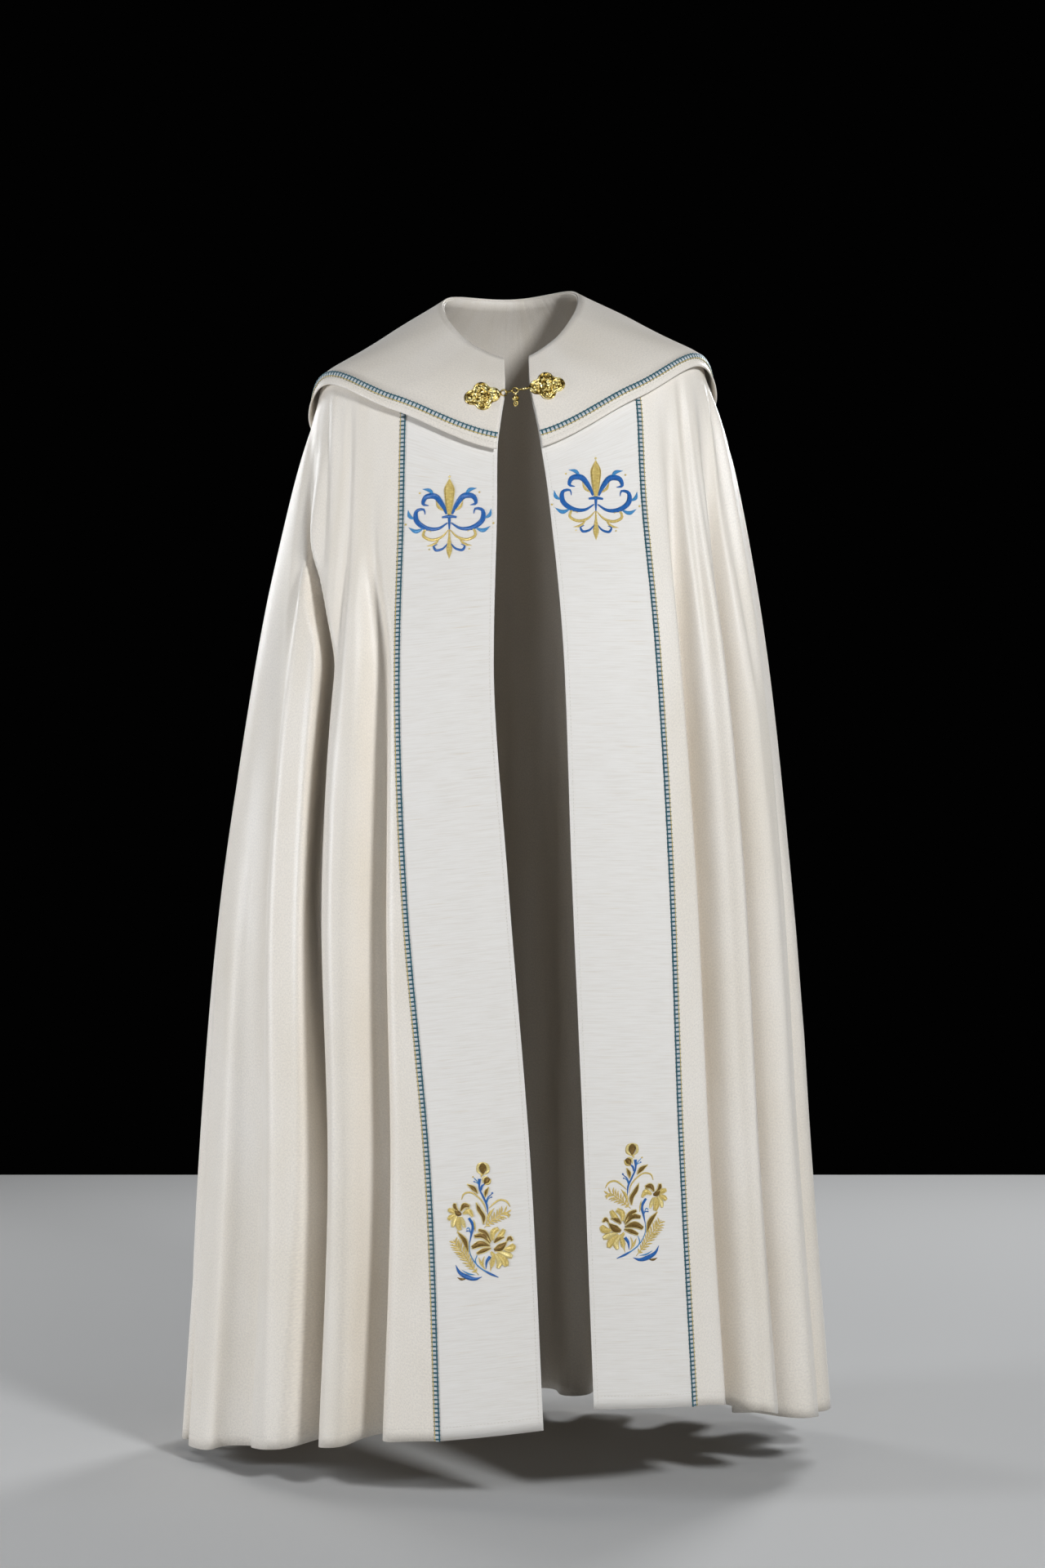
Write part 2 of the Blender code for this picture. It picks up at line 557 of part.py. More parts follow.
def plaque_relief(x, y, share):
    """Height of a plaque's face: a low dome, a rim, a boss in the middle and one on each lobe."""
    height = DOME_HEIGHT * (1 - share ** 2) + RIM_HEIGHT * np.exp(-((share - 0.93) / 0.05) ** 2)
    height = height + BOSS_HEIGHT * np.exp(-(np.hypot(x, y) / BOSS_RADIUS) ** 4)
    for quarter in range(4):
        away = 0.6 * (PLAQUE_HALF_WIDTH if quarter % 2 == 0 else PLAQUE_HALF_HEIGHT)
        boss_x = away * np.cos(quarter * np.pi / 2)
        boss_y = away * np.sin(quarter * np.pi / 2)
        from_boss = np.hypot(x - boss_x, y - boss_y) / LOBE_BOSS_RADIUS
        height = height + LOBE_BOSS_HEIGHT * np.exp(-from_boss ** 4)
    return height


def plaque(name, at):
    """A clasp plaque seated on the collar, flat at the back; gives its frame for the chain."""
    across, level = np.meshgrid(np.linspace(0, 1, 801), np.linspace(0.5, 2.9, 121))
    points = collar_point(across, level)
    miss = np.hypot(points[..., 0] - at[0], points[..., 2] - at[1]) + 10 * (points[..., 1] > 0)
    best = np.unravel_index(np.argmin(miss), miss.shape)
    normal = Vector(normals_of(collar_point, across[best], level[best]))
    seat = Vector(points[best]) + normal * (COLLAR_WALL / 2 + SEAM_GAP)
    side = Vector((0, 0, 1)).cross(normal).normalized()
    up = normal.cross(side).normalized()
    frame = Matrix((side, up, normal)).transposed().to_4x4()
    frame = Matrix.Translation(seat) @ frame @ Matrix.Rotation(np.radians(PLAQUE_TURN), 4, "Z")
    segments = PLAQUE_SEGMENTS
    shares = np.array(PLAQUE_SHARES)
    turn = np.arange(segments) * 2 * np.pi / segments
    reach = plaque_outline(turn)
    x = (shares[:, None] * reach * np.cos(turn)).ravel()
    y = (shares[:, None] * reach * np.sin(turn)).ravel()
    z = PLAQUE_BACK + plaque_relief(x, y, np.repeat(shares, segments))
    front = np.stack([x, y, z], axis=-1)
    foot = np.stack([x[-segments:], y[-segments:], 0 * turn], axis=-1)
    top = [[0, 0, PLAQUE_BACK + plaque_relief(0.0, 0.0, 0.0)]]
    vertices = np.concatenate([front, foot, top, [[0, 0, 0]]])
    step = np.arange(segments)
    ahead = (step + 1) % segments
    faces = []
    for ring in range(len(shares)):
        low = ring * segments
        faces += np.stack([low + step, low + ahead, low + segments + ahead, low + segments + step],
                          axis=-1).tolist()
    crown = len(vertices) - 2
    faces += [[crown, int(b), int(a)] for a, b in zip(step, ahead)]
    base = len(shares) * segments
    faces += [[crown + 1, base + int(a), base + int(b)] for a, b in zip(step, ahead)]
    made = add_object(name, vertices, faces, "gold")
    made.matrix_world = frame
    return frame


def wire(name, points, radius, closed, sides=6):
    """Round wire along a path in a plane, closed on itself or with flat ends."""
    points = np.asarray(points, float)
    if closed:
        tangents = np.roll(points, -1, axis=0) - np.roll(points, 1, axis=0)
    else:
        tangents = np.gradient(points, axis=0)
    tangents = tangents / np.linalg.norm(tangents, axis=-1, keepdims=True)
    spread = np.linalg.svd(points - points.mean(axis=0))[2][2]
    binormal = np.broadcast_to(spread, tangents.shape)
    outward = np.cross(tangents, binormal)
    turn = np.arange(sides) * 2 * np.pi / sides
    ring = (points[:, None, :] + radius * (np.cos(turn)[None, :, None] * outward[:, None, :]
                                           + np.sin(turn)[None, :, None] * binormal[:, None, :]))
    count = len(points)
    faces = []
    for step in range(count if closed else count - 1):
        ahead = (step + 1) % count
        for k in range(sides):
            m = (k + 1) % sides
            faces.append([step * sides + k, ahead * sides + k, ahead * sides + m, step * sides + m])
    if not closed:
        faces.append(list(range(sides)))
        faces.append([(count - 1) * sides + k for k in range(sides)][::-1])
    return add_object(name, ring.reshape(-1, 3), faces, "gold")


def oval(centre, axis_a, axis_b, half_a, half_b, count=18):
    """Points of an oval loop of wire round a centre, in the plane of two axes."""
    turn = np.arange(count) * 2 * np.pi / count
    centre, axis_a, axis_b = (np.asarray(value, float) for value in (centre, axis_a, axis_b))
    return (centre + np.cos(turn)[:, None] * axis_a * half_a + np.sin(turn)[:, None] * axis_b * half_b)


def union(main, *others):
    """Joins solids that overlap into the first one."""
    for other in others:
        modifier = main.modifiers.new("join", "BOOLEAN")
        modifier.operation = "UNION"
        modifier.solver = "EXACT"
        modifier.object = other
    bpy.context.view_layer.update()
    graph = bpy.context.evaluated_depsgraph_get()
    joined = bpy.data.meshes.new_from_object(main.evaluated_get(graph))
    main.modifiers.clear()
    main.data = joined
    for other in others:
        bpy.data.objects.remove(other)


def turned_solid(name, profile, centre, axis, sides=16):
    """Solid turned about an axis, from radii at distances along it; its ends close to points."""
    axis = np.asarray(axis, float)
    across = np.cross(axis, [0.0, 1.0, 0.0])
    across = across / np.linalg.norm(across)
    other = np.cross(axis, across)
    turn = np.arange(sides) * 2 * np.pi / sides
    ring = np.cos(turn)[:, None] * across + np.sin(turn)[:, None] * other
    along = [distance for distance, radius in profile]
    rings = [centre + distance * axis + radius * ring for distance, radius in profile]
    ends = np.array([centre + along[0] * axis, centre + along[-1] * axis])
    vertices = np.concatenate(rings + [ends])
    faces = []
    for step in range(len(profile) - 1):
        for k in range(sides):
            m = (k + 1) % sides
            faces.append([step * sides + k, (step + 1) * sides + k, (step + 1) * sides + m, step * sides + m])
    last = (len(profile) - 1) * sides
    for k in range(sides):
        m = (k + 1) % sides
        faces.append([len(vertices) - 2, k, m])
        faces.append([len(vertices) - 1, last + m, last + k])
    return add_object(name, vertices, faces, "gold")


def clasp():
    """Two plaques on the collar's front corners, and the chain between them."""
    left = plaque("plaque_left", PLAQUE_LEFT_AT)
    right = plaque("plaque_right", PLAQUE_RIGHT_AT)
    start = np.array(left @ Vector((PLAQUE_HALF_WIDTH, 0, PLAQUE_BACK)))
    end = np.array(right @ Vector((-PLAQUE_HALF_WIDTH, 0, PLAQUE_BACK)))
    span = np.linalg.norm(end - start)
    along = (end - start) / span
    depth = np.array([0.0, 1.0, 0.0])
    depth = depth - along * along.dot(depth)
    depth = depth / np.linalg.norm(depth)
    up = np.cross(along, depth)
    if up[2] < 0:
        up = -up
    clear = 2 * WIRE + SEAM_GAP
    ring_at = SEAM_GAP + WIRE + RING_RADIUS
    link_at = LINK_FROM_PLAQUE
    wire("clasp_ring", oval(start + along * ring_at, along, up, RING_RADIUS, RING_RADIUS), WIRE, True)
    wire("clasp_link", oval(start + along * link_at, along, up, LINK_RADIUS, LINK_RADIUS), WIRE, True)
    joiner_start = ring_at + RING_RADIUS - clear
    joiner_end = link_at - LINK_RADIUS + clear
    joiner_at = start + along * (joiner_start + joiner_end) / 2
    joiner_half = (joiner_end - joiner_start) / 2
    wire("clasp_joiner", oval(joiner_at, along, depth, joiner_half, JOINER_HALF_WIDTH), WIRE, True)

    hook_start = link_at + LINK_RADIUS - clear
    bar_end = span - SEAM_GAP
    bar_start = bar_end - BAR_LENGTH
    hook_end = bar_start + HOOK_OVERLAP
    hook_at = start + along * (hook_start + hook_end) / 2
    wire("clasp_hook", oval(hook_at, along, depth, (hook_end - hook_start) / 2, HOOK_HALF_WIDTH), WIRE, True)
    bar_profile = [(bar_start, BAR_END_RADIUS), (bar_start + BAR_TAPER, BAR_RADIUS),
                   (bar_end - BAR_TAPER, BAR_RADIUS), (bar_end, BAR_END_RADIUS)]
    turned_solid("clasp_bar", bar_profile, start, along, 12)
    union(bpy.data.objects["clasp_hook"], bpy.data.objects["clasp_bar"])

    low = start + along * link_at - up * LINK_RADIUS
    down = np.array([0.0, 0.0, -1.0])
    eye_at = low + down * (EYE_HALF_LENGTH - clear)
    wire("clasp_charm", oval(eye_at, down, depth, EYE_HALF_LENGTH, EYE_HALF_WIDTH, 16), WIRE, True)
    ball_top = 2 * EYE_HALF_LENGTH - clear - BALL_OVERLAP
    turn = np.linspace(0.08, np.pi - 0.08, 9)
    ball = [(ball_top + CHARM_BALL * (1 - np.cos(a)), CHARM_BALL * np.sin(a)) for a in turn]
    turned_solid("charm_ball", ball, low, down)
    drop_top = ball_top + 2 * CHARM_BALL - DROP_OVERLAP
    drop = [(drop_top + MM * distance, MM * radius) for distance, radius in CHARM_DROP]
    turned_solid("charm_drop", drop, low, down, 12)
    union(bpy.data.objects["clasp_charm"], bpy.data.objects["charm_ball"], bpy.data.objects["charm_drop"])


def main():
    """Builds every node of the garment in an empty scene."""
    for thing in list(bpy.data.objects):
        bpy.data.objects.remove(thing)
    left_join = valley_u(LEFT_JOIN)
    right_join = valley_u(RIGHT_JOIN)
    cloth_panel("orphrey_left", 0, 1, BAND_COLUMNS, BAND_WALL, "band", end_braid=True)
    cloth_panel("body_left", 1, left_join, LEFT_COLUMNS, BODY_WALL, "cloth", start_braid=True)
    cloth_panel("body_back", left_join, right_join, BACK_COLUMNS, BODY_WALL, "cloth")
    cloth_panel("body_right", right_join, 2, RIGHT_COLUMNS, BODY_WALL, "cloth", end_braid=True)
    cloth_panel("orphrey_right", 2, 3, BAND_COLUMNS, BAND_WALL, "band", start_braid=True)
    seam_braid("braid_left", 1)
    seam_braid("braid_right", 2)
    collar_and_braid()
    clasp()


main()
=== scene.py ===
# %% [markdown]
# # A cope, worn open
# A cope is a long cloak, cut as part of a circle, with a flat band down each front edge.
# This lesson dresses a fixed frame of plain solids with cloth, braid, stitching and gilt metal.
# Everything is in metres, +Z is up, and the open front faces -Y.

import bpy
import numpy as np
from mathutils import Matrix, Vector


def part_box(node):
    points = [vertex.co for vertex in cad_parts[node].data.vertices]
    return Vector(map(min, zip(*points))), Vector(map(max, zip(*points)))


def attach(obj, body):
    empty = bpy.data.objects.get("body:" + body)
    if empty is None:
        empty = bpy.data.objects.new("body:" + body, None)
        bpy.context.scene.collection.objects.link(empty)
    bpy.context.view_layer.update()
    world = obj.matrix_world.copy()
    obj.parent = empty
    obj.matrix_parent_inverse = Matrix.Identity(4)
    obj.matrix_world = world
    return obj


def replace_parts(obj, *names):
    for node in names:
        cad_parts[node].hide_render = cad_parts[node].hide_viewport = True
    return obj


MM = 0.001
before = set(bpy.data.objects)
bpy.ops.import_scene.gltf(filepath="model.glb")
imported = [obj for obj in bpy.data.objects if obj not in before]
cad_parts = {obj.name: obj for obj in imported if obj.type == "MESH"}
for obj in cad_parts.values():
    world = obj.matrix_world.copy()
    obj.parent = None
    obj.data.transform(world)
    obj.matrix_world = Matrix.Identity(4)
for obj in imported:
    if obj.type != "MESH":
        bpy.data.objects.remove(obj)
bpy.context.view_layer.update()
print("frame nodes:", len(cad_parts))

# %% [markdown]
# ## The camera
# It stands four metres away, level, a little below the middle of the garment, with a long lens.
# A level camera keeps upright lines upright, so no shift is needed, only the right height.

# %% Camera
METRES_A_PIXEL = 1.05e-3
CAMERA_DISTANCE = 4.0
CAMERA_SIDE = 12
CAMERA_DROP = 588
PICTURE_HEIGHT = 1920

camera_data = bpy.data.cameras.new("camera")
camera_data.sensor_width = 36.0
camera_data.lens = 36.0 * CAMERA_DISTANCE / (PICTURE_HEIGHT * METRES_A_PIXEL)
camera = bpy.data.objects.new("camera", camera_data)
camera.location = (CAMERA_SIDE * METRES_A_PIXEL, -CAMERA_DISTANCE, -CAMERA_DROP * METRES_A_PIXEL)
camera.rotation_euler = (np.radians(90), 0, 0)
bpy.context.scene.collection.objects.link(camera)
bpy.context.scene.camera = camera
print("lens:", round(camera_data.lens, 1), "mm")

# %% [markdown]
# ## The cloth's surface
# The whole garment hangs as one surface. It is built from rings round the body, one for each height,
# and each ring is pushed inwards at the valleys between the folds.
# A table holds one row for each ring and fold, so one changed number moves the cloth everywhere.

# %% Sizes and tables
# The whole garment leans: the side at +X is carried higher by this much a metre
LEAN = 0.051
# The right band ends higher than the left one by twice this much at the hem
BAND_TWIST = 11.0 * MM
# That difference fades out over this share of the body next to each band
TWIST_FADE = 0.12
# At the hem a band's inner corner is this much higher than its seam
BAND_RISE = 13.0 * MM
# A band's middle bows outwards by this much
BAND_BOW = 4.0 * MM
# Degrees to each side over which the ring's direction is taken, where a fold moves it
FOLD_REACH = 1.5

# The body is cut in three gores, joined in two of the valleys
LEFT_JOIN = "left_5"
RIGHT_JOIN = "back_8"

# How far the collar's middle surface stands out from the rings, from the neck to its edge
COLLAR_LIFT = [2.9 * MM, 6.5 * MM, 7.0 * MM, 9.0 * MM]
# It stands out away from a point this far below each point's own height
LIFT_CENTRE_DROP = 0.12


def named(columns, rows):
    """A table: each row of values under the columns' names."""
    return [dict(zip(columns.split(), row)) for row in rows]


# One row for each ring, from the neck seam to the hem.
# z_front, z_35, z_65, z_side and z_back are heights at 0, 35, 65, 90 and 180 degrees round from the front;
# y_front, y_wide and y_back place the front, the widest line and the back; point narrows the front half.
RINGS = named("name z_front z_35 z_65 z_side z_back y_front y_wide y_back half_left half_right point", [
    ("neck", -0.088, -0.0645, -0.027, 0.000, 0.015, -0.100, 0.000, 0.078, 0.088, 0.083, 1.00),
    ("slope", -0.125, -0.095, -0.055, -0.037, -0.045, -0.125, 0.000, 0.122, 0.155, 0.155, 1.00),
    ("shoulder", -0.168, -0.122, -0.083, -0.089, -0.150, -0.143, 0.003, 0.150, 0.236, 0.236, 1.00),
    ("tip", -0.212, -0.150, -0.105, -0.140, -0.270, -0.155, 0.006, 0.172, 0.2535, 0.2535, 1.00),
    ("chest", -0.290, -0.260, -0.230, -0.235, -0.360, -0.172, 0.010, 0.185, 0.279, 0.291, 1.00),
    ("elbow", -0.470, -0.470, -0.470, -0.470, -0.520, -0.215, 0.020, 0.210, 0.327, 0.334, 1.05),
    ("hip", -0.750, -0.755, -0.760, -0.760, -0.790, -0.228, 0.050, 0.260, 0.374, 0.365, 1.15),
    ("knee", -1.080, -1.090, -1.100, -1.105, -1.130, -0.231, 0.090, 0.325, 0.409, 0.390, 1.22),
    ("hem", -1.404, -1.432, -1.455, -1.460, -1.472, -0.236, 0.130, 0.395, 0.438, 0.420, 1.30),
])

# X of the front bands' inner edges and outer seams, one row for each ring
BANDS = named("name edge_left seam_left edge_right seam_right", [
    ("neck", -0.0105, -0.070, 0.0200, 0.066),
    ("slope", -0.0090, -0.112, 0.0210, 0.118),
    ("shoulder", -0.0142, -0.1345, 0.0290, 0.1430),
    ("tip", -0.0185, -0.1360, 0.0360, 0.1565),
    ("chest", -0.0190, -0.1380, 0.0468, 0.1632),
    ("elbow", -0.0225, -0.1412, 0.0628, 0.1790),
    ("hip", -0.0040, -0.1315, 0.0727, 0.1953),
    ("knee", 0.0222, -0.1030, 0.0868, 0.2073),
    ("hem", 0.0380, -0.0910, 0.0993, 0.2240),
])

# One row for each valley between two folds.
# side: "left" and "right" count the at_ columns' degrees outwards from that band's seam, and "back" counts
# them from the front, clockwise seen from above. near and far are the valley's half widths in degrees,
# towards its band and away from it, and on the back towards lower and higher angles.
# chest, elbow, knee and hem are its depth in millimetres at those rings. pinch draws the mouth together.
# lean, down to about the hip, and lean_low, from about the knee, shift its floor towards higher angles,
# as a share of its width. stand, from 0 to 1, says how upright the walls are between floor and ridge.
FOLDS = named(
    "name side at_chest at_elbow at_knee at_hem near far chest elbow knee hem pinch lean lean_low stand", [
    ("left_1", "left", 10, 5.3, 9.6, 11.8, 5, 6, 4, 24, 46, 64, 0.20, 0.0, 0.0, 0.75),
    ("left_2", "left", 36, 19.3, 20.3, 22.2, 4.2, 4.0, 4, 62, 84, 70, 0.00, 1.6, 0.0, 0.60),
    ("left_3", "left", 50, 38, 37.2, 37.2, 7, 14, 0, 3, 10, 20, 0.00, 0.0, 0.0, 0.75),
    ("left_4", "left", 66, 60, 58.7, 58.0, 6, 6, 0, 2, 9, 14, 0.00, 0.0, 0.0, 0.75),
    ("left_5", "back", 104, 102, 99.3, 98.0, 10, 9, 6, 20, 52, 66, 0.10, 0.0, 0.0, 0.75),
    ("back_1", "back", 124, 122, 119.3, 118.0, 9, 8, 3, 14, 48, 70, 0.15, 0.1, 0.1, 0.75),
    ("back_2", "back", 141, 139, 137.7, 137.0, 8, 9, 6, 24, 58, 80, 0.15, 0.0, 0.0, 0.75),
    ("back_3", "back", 158, 157, 156.3, 156.0, 8, 8, 3, 14, 46, 66, 0.15, -0.1, -0.1, 0.75),
    ("back_4", "back", 175, 175, 174.3, 174.0, 8, 9, 7, 26, 60, 82, 0.15, 0.0, 0.0, 0.75),
    ("back_5", "back", 193, 193, 192.3, 192.0, 8, 8, 3, 13, 46, 68, 0.15, 0.1, 0.1, 0.75),
    ("back_6", "back", 210, 211, 211, 211.0, 8, 9, 6, 23, 56, 78, 0.15, 0.0, 0.0, 0.75),
    ("back_7", "back", 229, 230, 230.7, 231.0, 9, 8, 3, 15, 48, 70, 0.10, -0.1, -0.1, 0.75),
    ("back_8", "back", 248, 250, 251.3, 252.0, 9, 9, 6, 20, 48, 62, 0.10, 0.0, 0.0, 0.75),
    ("right_4", "right", 64, 62, 60.7, 60.0, 8, 8, 2, 6, 18, 28, 0.00, 0.0, 0.0, 0.75),
    ("right_3", "right", 44, 43.5, 43.5, 43.5, 6, 8, 2, 10, 34, 48, 0.10, 0.20, 0.20, 0.75),
    ("right_2", "right", 27, 24.5, 25.9, 26.6, 6, 8, 16, 60, 80, 82, 0.00, 0.20, 0.20, 1.0),
    ("right_1", "right", 10, 9.5, 10.4, 10.8, 4.4, 5, 10, 38, 52, 54, 0.05, 0.0, 0.0, 0.75),
])

print(len(RINGS), "rings and", len(FOLDS), "valleys")

# %% [markdown]
# A smooth curve through a column of a table gives its value at any height between two rows.
# A value that depends on the height alone is worked out once and then looked up, which keeps this quick.

# %% Curves through a table's rows
def through(knots, values, at):
    """Smooth curve through values at the knots: a cubic between each two, sloped like its neighbours.

    A single row of values is also kept from overshooting: no slope is steeper than three times that of
    either side.
    """
    knots = np.asarray(knots, float)
    values = np.asarray(values, float)
    at = np.asarray(at, float)
    slopes = np.gradient(values, knots, axis=0)
    if values.ndim == 1:
        rises = np.diff(values) / np.diff(knots)
        before = np.concatenate([rises[:1], rises])
        after = np.concatenate([rises, rises[-1:]])
        limit = 3 * np.where(before * after > 0, np.minimum(np.abs(before), np.abs(after)), 0)
        slopes = np.clip(slopes, -limit, limit)
    index = np.clip(np.searchsorted(knots, at, side="right") - 1, 0, len(knots) - 2)
    width = knots[index + 1] - knots[index]
    t = (at - knots[index]) / width
    if values.ndim > 1:
        t = t[..., None]
        width = width[..., None]
    rise = t * t * (3 - 2 * t)
    return (values[index] * (1 - rise) + values[index + 1] * rise
            + slopes[index] * width * t * (1 - t) ** 2 - slopes[index + 1] * width * t * t * (1 - t))


def ease(t):
    """Nought below 0, one above 1, and a smooth step between."""
    t = np.clip(t, 0, 1)
    return t * t * (3 - 2 * t)


def unit(vectors):
    """The vectors, each one long."""
    return vectors / np.linalg.norm(vectors, axis=-1, keepdims=True)


LEVEL_STEPS = np.linspace(-1, 10, 4401)
WORKED_OUT = {}


def remembered(key, work, level):
    """A value that depends on the level alone: worked out once at even steps, then read between them."""
    if key not in WORKED_OUT:
        WORKED_OUT[key] = work(LEVEL_STEPS)
    return np.interp(level, LEVEL_STEPS, WORKED_OUT[key])


def at_level(table, column, level):
    """A table's column, read at any level between its rows."""
    def work(steps):
        return through(np.arange(len(table)), [row[column] for row in table], steps)

    return remembered((id(table), column), work, level)


# %% [markdown]
# Seen from above a ring is two half ovals: the front one narrows towards the open middle, and the back one
# is plain. Its height changes on the way round: near the top the shoulders carry the sides higher.

# %% The rings
def front_middle(level):
    """X of the ring's foremost point: the middle of the gap between the bands."""
    return (at_level(BANDS, "edge_left", level) + at_level(BANDS, "edge_right", level)) / 2


def front_angle(side, x, level):
    """Angle from the front at which the ring's front half has this X on its own side, in degrees."""
    outward = -1 if side == "left" else 1
    middle = outward * front_middle(level)
    half = at_level(RINGS, "half_" + side, level)
    share = np.clip((outward * x - middle) / (half - middle), 0, 1)
    return np.degrees(np.arcsin(share ** (1 / at_level(RINGS, "point", level))))


def seam_angle(side, level):
    """Angle round the ring, from the front, at which a band's seam lies, in degrees."""
    return remembered(("seam", side),
                      lambda steps: front_angle(side, at_level(BANDS, "seam_" + side, steps), steps), level)


def ring_plan(angle, level):
    """X and Y of the ring, folds left out, at an angle in degrees clockwise from the front."""
    turn = np.radians(angle)
    sine = np.sin(turn)
    cosine = np.cos(turn)
    left = at_level(RINGS, "half_left", level)
    right = at_level(RINGS, "half_right", level)
    half = left + (right - left) * ease((angle - 90) / 180)
    wide = at_level(RINGS, "y_wide", level)
    front = at_level(RINGS, "y_front", level)
    back = at_level(RINGS, "y_back", level)
    middle = front_middle(level)
    side = -np.sign(sine)
    share = np.abs(sine) ** at_level(RINGS, "point", level)
    x = np.where(cosine > 0, middle + (side * half - middle) * share, -half * sine)
    y = wide + np.where(cosine > 0, front - wide, back - wide) * np.abs(cosine)
    return x, y


def ring_height(angle, level):
    """Z of the ring at an angle: flat across the bands lower down, through five heights on each side."""
    around = np.where(angle > 180, 360 - angle, angle)
    seam = np.where(angle > 180, seam_angle("right", level), seam_angle("left", level))
    past_seam = np.clip(90 * (around - seam) / (90 - seam), 0, None)
    past_seam = np.where(around < 90, past_seam, around)
    station = around + (past_seam - around) * ease((np.asarray(level) - 3) / 2)
    knots = [-35, 0, 35, 65, 90, 180, 270]
    share = through(knots, np.eye(len(knots)), station)
    columns = ["z_35", "z_front", "z_35", "z_65", "z_side", "z_back", "z_side"]
    heights = np.stack([at_level(RINGS, column, level) + 0 * station for column in columns], axis=-1)
    return np.sum(share * heights, axis=-1)


# %% [markdown]
# ## Small creases
# Between its large folds real cloth carries soft troughs and ridges, none alike, that fade in and out.
# Each is a row: where it starts and ends, in degrees and levels, how wide it is and how deep.
# A depth below nought is a ridge.

# %% Small creases
CREASES = named("side top bottom angle_top angle_bottom width depth", [
    ("left", 3.1, 5.6, 20, 13, 3.0, 5),
    ("left", 3.0, 5.0, 29, 17, 3.5, -4),
    ("left", 3.2, 5.2, 44, 30, 5.0, 3),
    ("left", 4.6, 8.6, 55, 48, 7.0, 3),
    ("left", 3.6, 8.8, 30, 27.0, 5.0, -13),
    ("left", 4.2, 9.4, 12, 16.5, 4.5, -16),
    ("left", 5.0, 9.4, 36, 37, 9.0, 11),
    ("right", 3.0, 5.4, 17, 15, 3.0, 6),
    ("right", 3.1, 5.2, 36, 33, 4.0, 10),
    ("right", 3.6, 9.4, 17, 18.5, 3.5, -12),
    ("right", 3.6, 6.2, 50, 50, 5.0, 5),
    ("right", 5.6, 8.8, 33, 35, 3.0, -4),
    ("back", 3.4, 7.4, 86, 86, 22.0, -10),
    ("back", 3.1, 6.6, 272, 272, 20.0, 6),
    ("back", 3.3, 6.4, 116, 112, 5.0, 6),
    ("back", 3.2, 5.8, 150, 148, 5.0, 7),
    ("back", 4.4, 8.6, 166, 165, 3.5, -5),
    ("back", 3.2, 6.0, 184, 184, 5.0, 6),
    ("back", 4.0, 8.4, 202, 201, 3.5, -5),
    ("back", 3.3, 6.2, 220, 221, 5.0, 7),
    ("back", 4.2, 7.6, 240, 241, 4.0, 5),
])


def crease_depth(angle, level):
    """Depth of all the small creases at a point: for each, a bell across it times a bell along it."""
    total = np.zeros_like(angle)
    for crease in CREASES:
        along = (level - crease["top"]) / (crease["bottom"] - crease["top"])
        middle = crease["angle_top"] + (crease["angle_bottom"] - crease["angle_top"]) * along
        if crease["side"] == "left":
            middle = seam_angle("left", level) + middle
        if crease["side"] == "right":
            middle = 360 - seam_angle("right", level) - middle
        across = np.clip((angle - middle) / crease["width"], -1, 1)
        fade = np.sin(np.pi * np.clip(along, 0, 1)) ** 0.8
        total = total + MM * crease["depth"] * fade * (1 + np.cos(np.pi * across)) / 2
    return total


# %% [markdown]
# ## The folds
# A valley pushes the ring inwards in a smooth bell. The points near it also slide along the ring, which
# makes the walls stand up and the ridges round, as cloth does when it hangs from the shoulders.

# %% The folds
def angle_steps(fold, level):
    """Angle of a valley's floor worked out from its row, in degrees clockwise from the front."""
    own = through([3, 4, 5, 7, 8],
                  [fold["at_chest"], fold["at_chest"], fold["at_elbow"], fold["at_knee"], fold["at_hem"]],
                  np.clip(level, 3, 8))
    if fold["side"] == "left":
        return seam_angle("left", level) + own
    if fold["side"] == "right":
        return 360 - seam_angle("right", level) - own
    return own


def fold_angle(fold, level):
    """Angle of a valley's floor, in degrees clockwise from the front."""
    return remembered(("angle", fold["name"]), lambda steps: angle_steps(fold, steps), level)


def depth_steps(fold, level):
    """Depth of a valley in metres worked out from its row, nothing above the collar's edge."""
    return MM * np.clip(through([0, 3, 4, 5, 7, 8],
                                [0, 0, fold["chest"], fold["elbow"], fold["knee"], fold["hem"]],
                                level), 0, None)


def fold_depth(fold, level):
    """Depth of a valley in metres."""
    return remembered(("depth", fold["name"]), lambda steps: depth_steps(fold, steps), level)


def folded_plan(angle, level):
    """X and Y of the folded cloth: each valley moves the ring inwards and draws its walls together."""
    x, y = ring_plan(angle, level)
    x_ahead, y_ahead = ring_plan(angle + FOLD_REACH, level)
    x_behind, y_behind = ring_plan(angle - FOLD_REACH, level)
    along_x = (x_ahead - x_behind) / (2 * FOLD_REACH)
    along_y = (y_ahead - y_behind) / (2 * FOLD_REACH)
    per_degree = np.hypot(along_x, along_y)
    along_x = along_x / per_degree
    along_y = along_y / per_degree
    inward = np.zeros_like(x)
    sideways = np.zeros_like(x)
    for fold in FOLDS:
        away = angle - fold_angle(fold, level)
        width = np.where(away < 0, fold["near"], fold["far"])
        if fold["side"] == "right":
            width = np.where(away > 0, fold["near"], fold["far"])
        a = np.clip(away / width, -1, 1)
        depth = fold_depth(fold, level)
        strength = depth / (MM * fold["hem"])
        hollow = (1 + np.cos(np.pi * a)) / 2
        inward = inward + depth * hollow
        lean = fold["lean"] + (fold["lean_low"] - fold["lean"]) * ease((level - 5.8) / 1.4)
        lean = lean * hollow * (fold["near"] + fold["far"]) / 2
        walls = fold["stand"] * np.sin(2 * np.pi * a) / 2 - fold["pinch"] * np.sin(np.pi * a)
        sideways = sideways + strength * per_degree * (lean + width * walls / np.pi)
    inward = inward + crease_depth(angle, level)
    x = x + along_x * sideways + along_y * inward
    y = y + along_y * sideways - along_x * inward
    return x, y


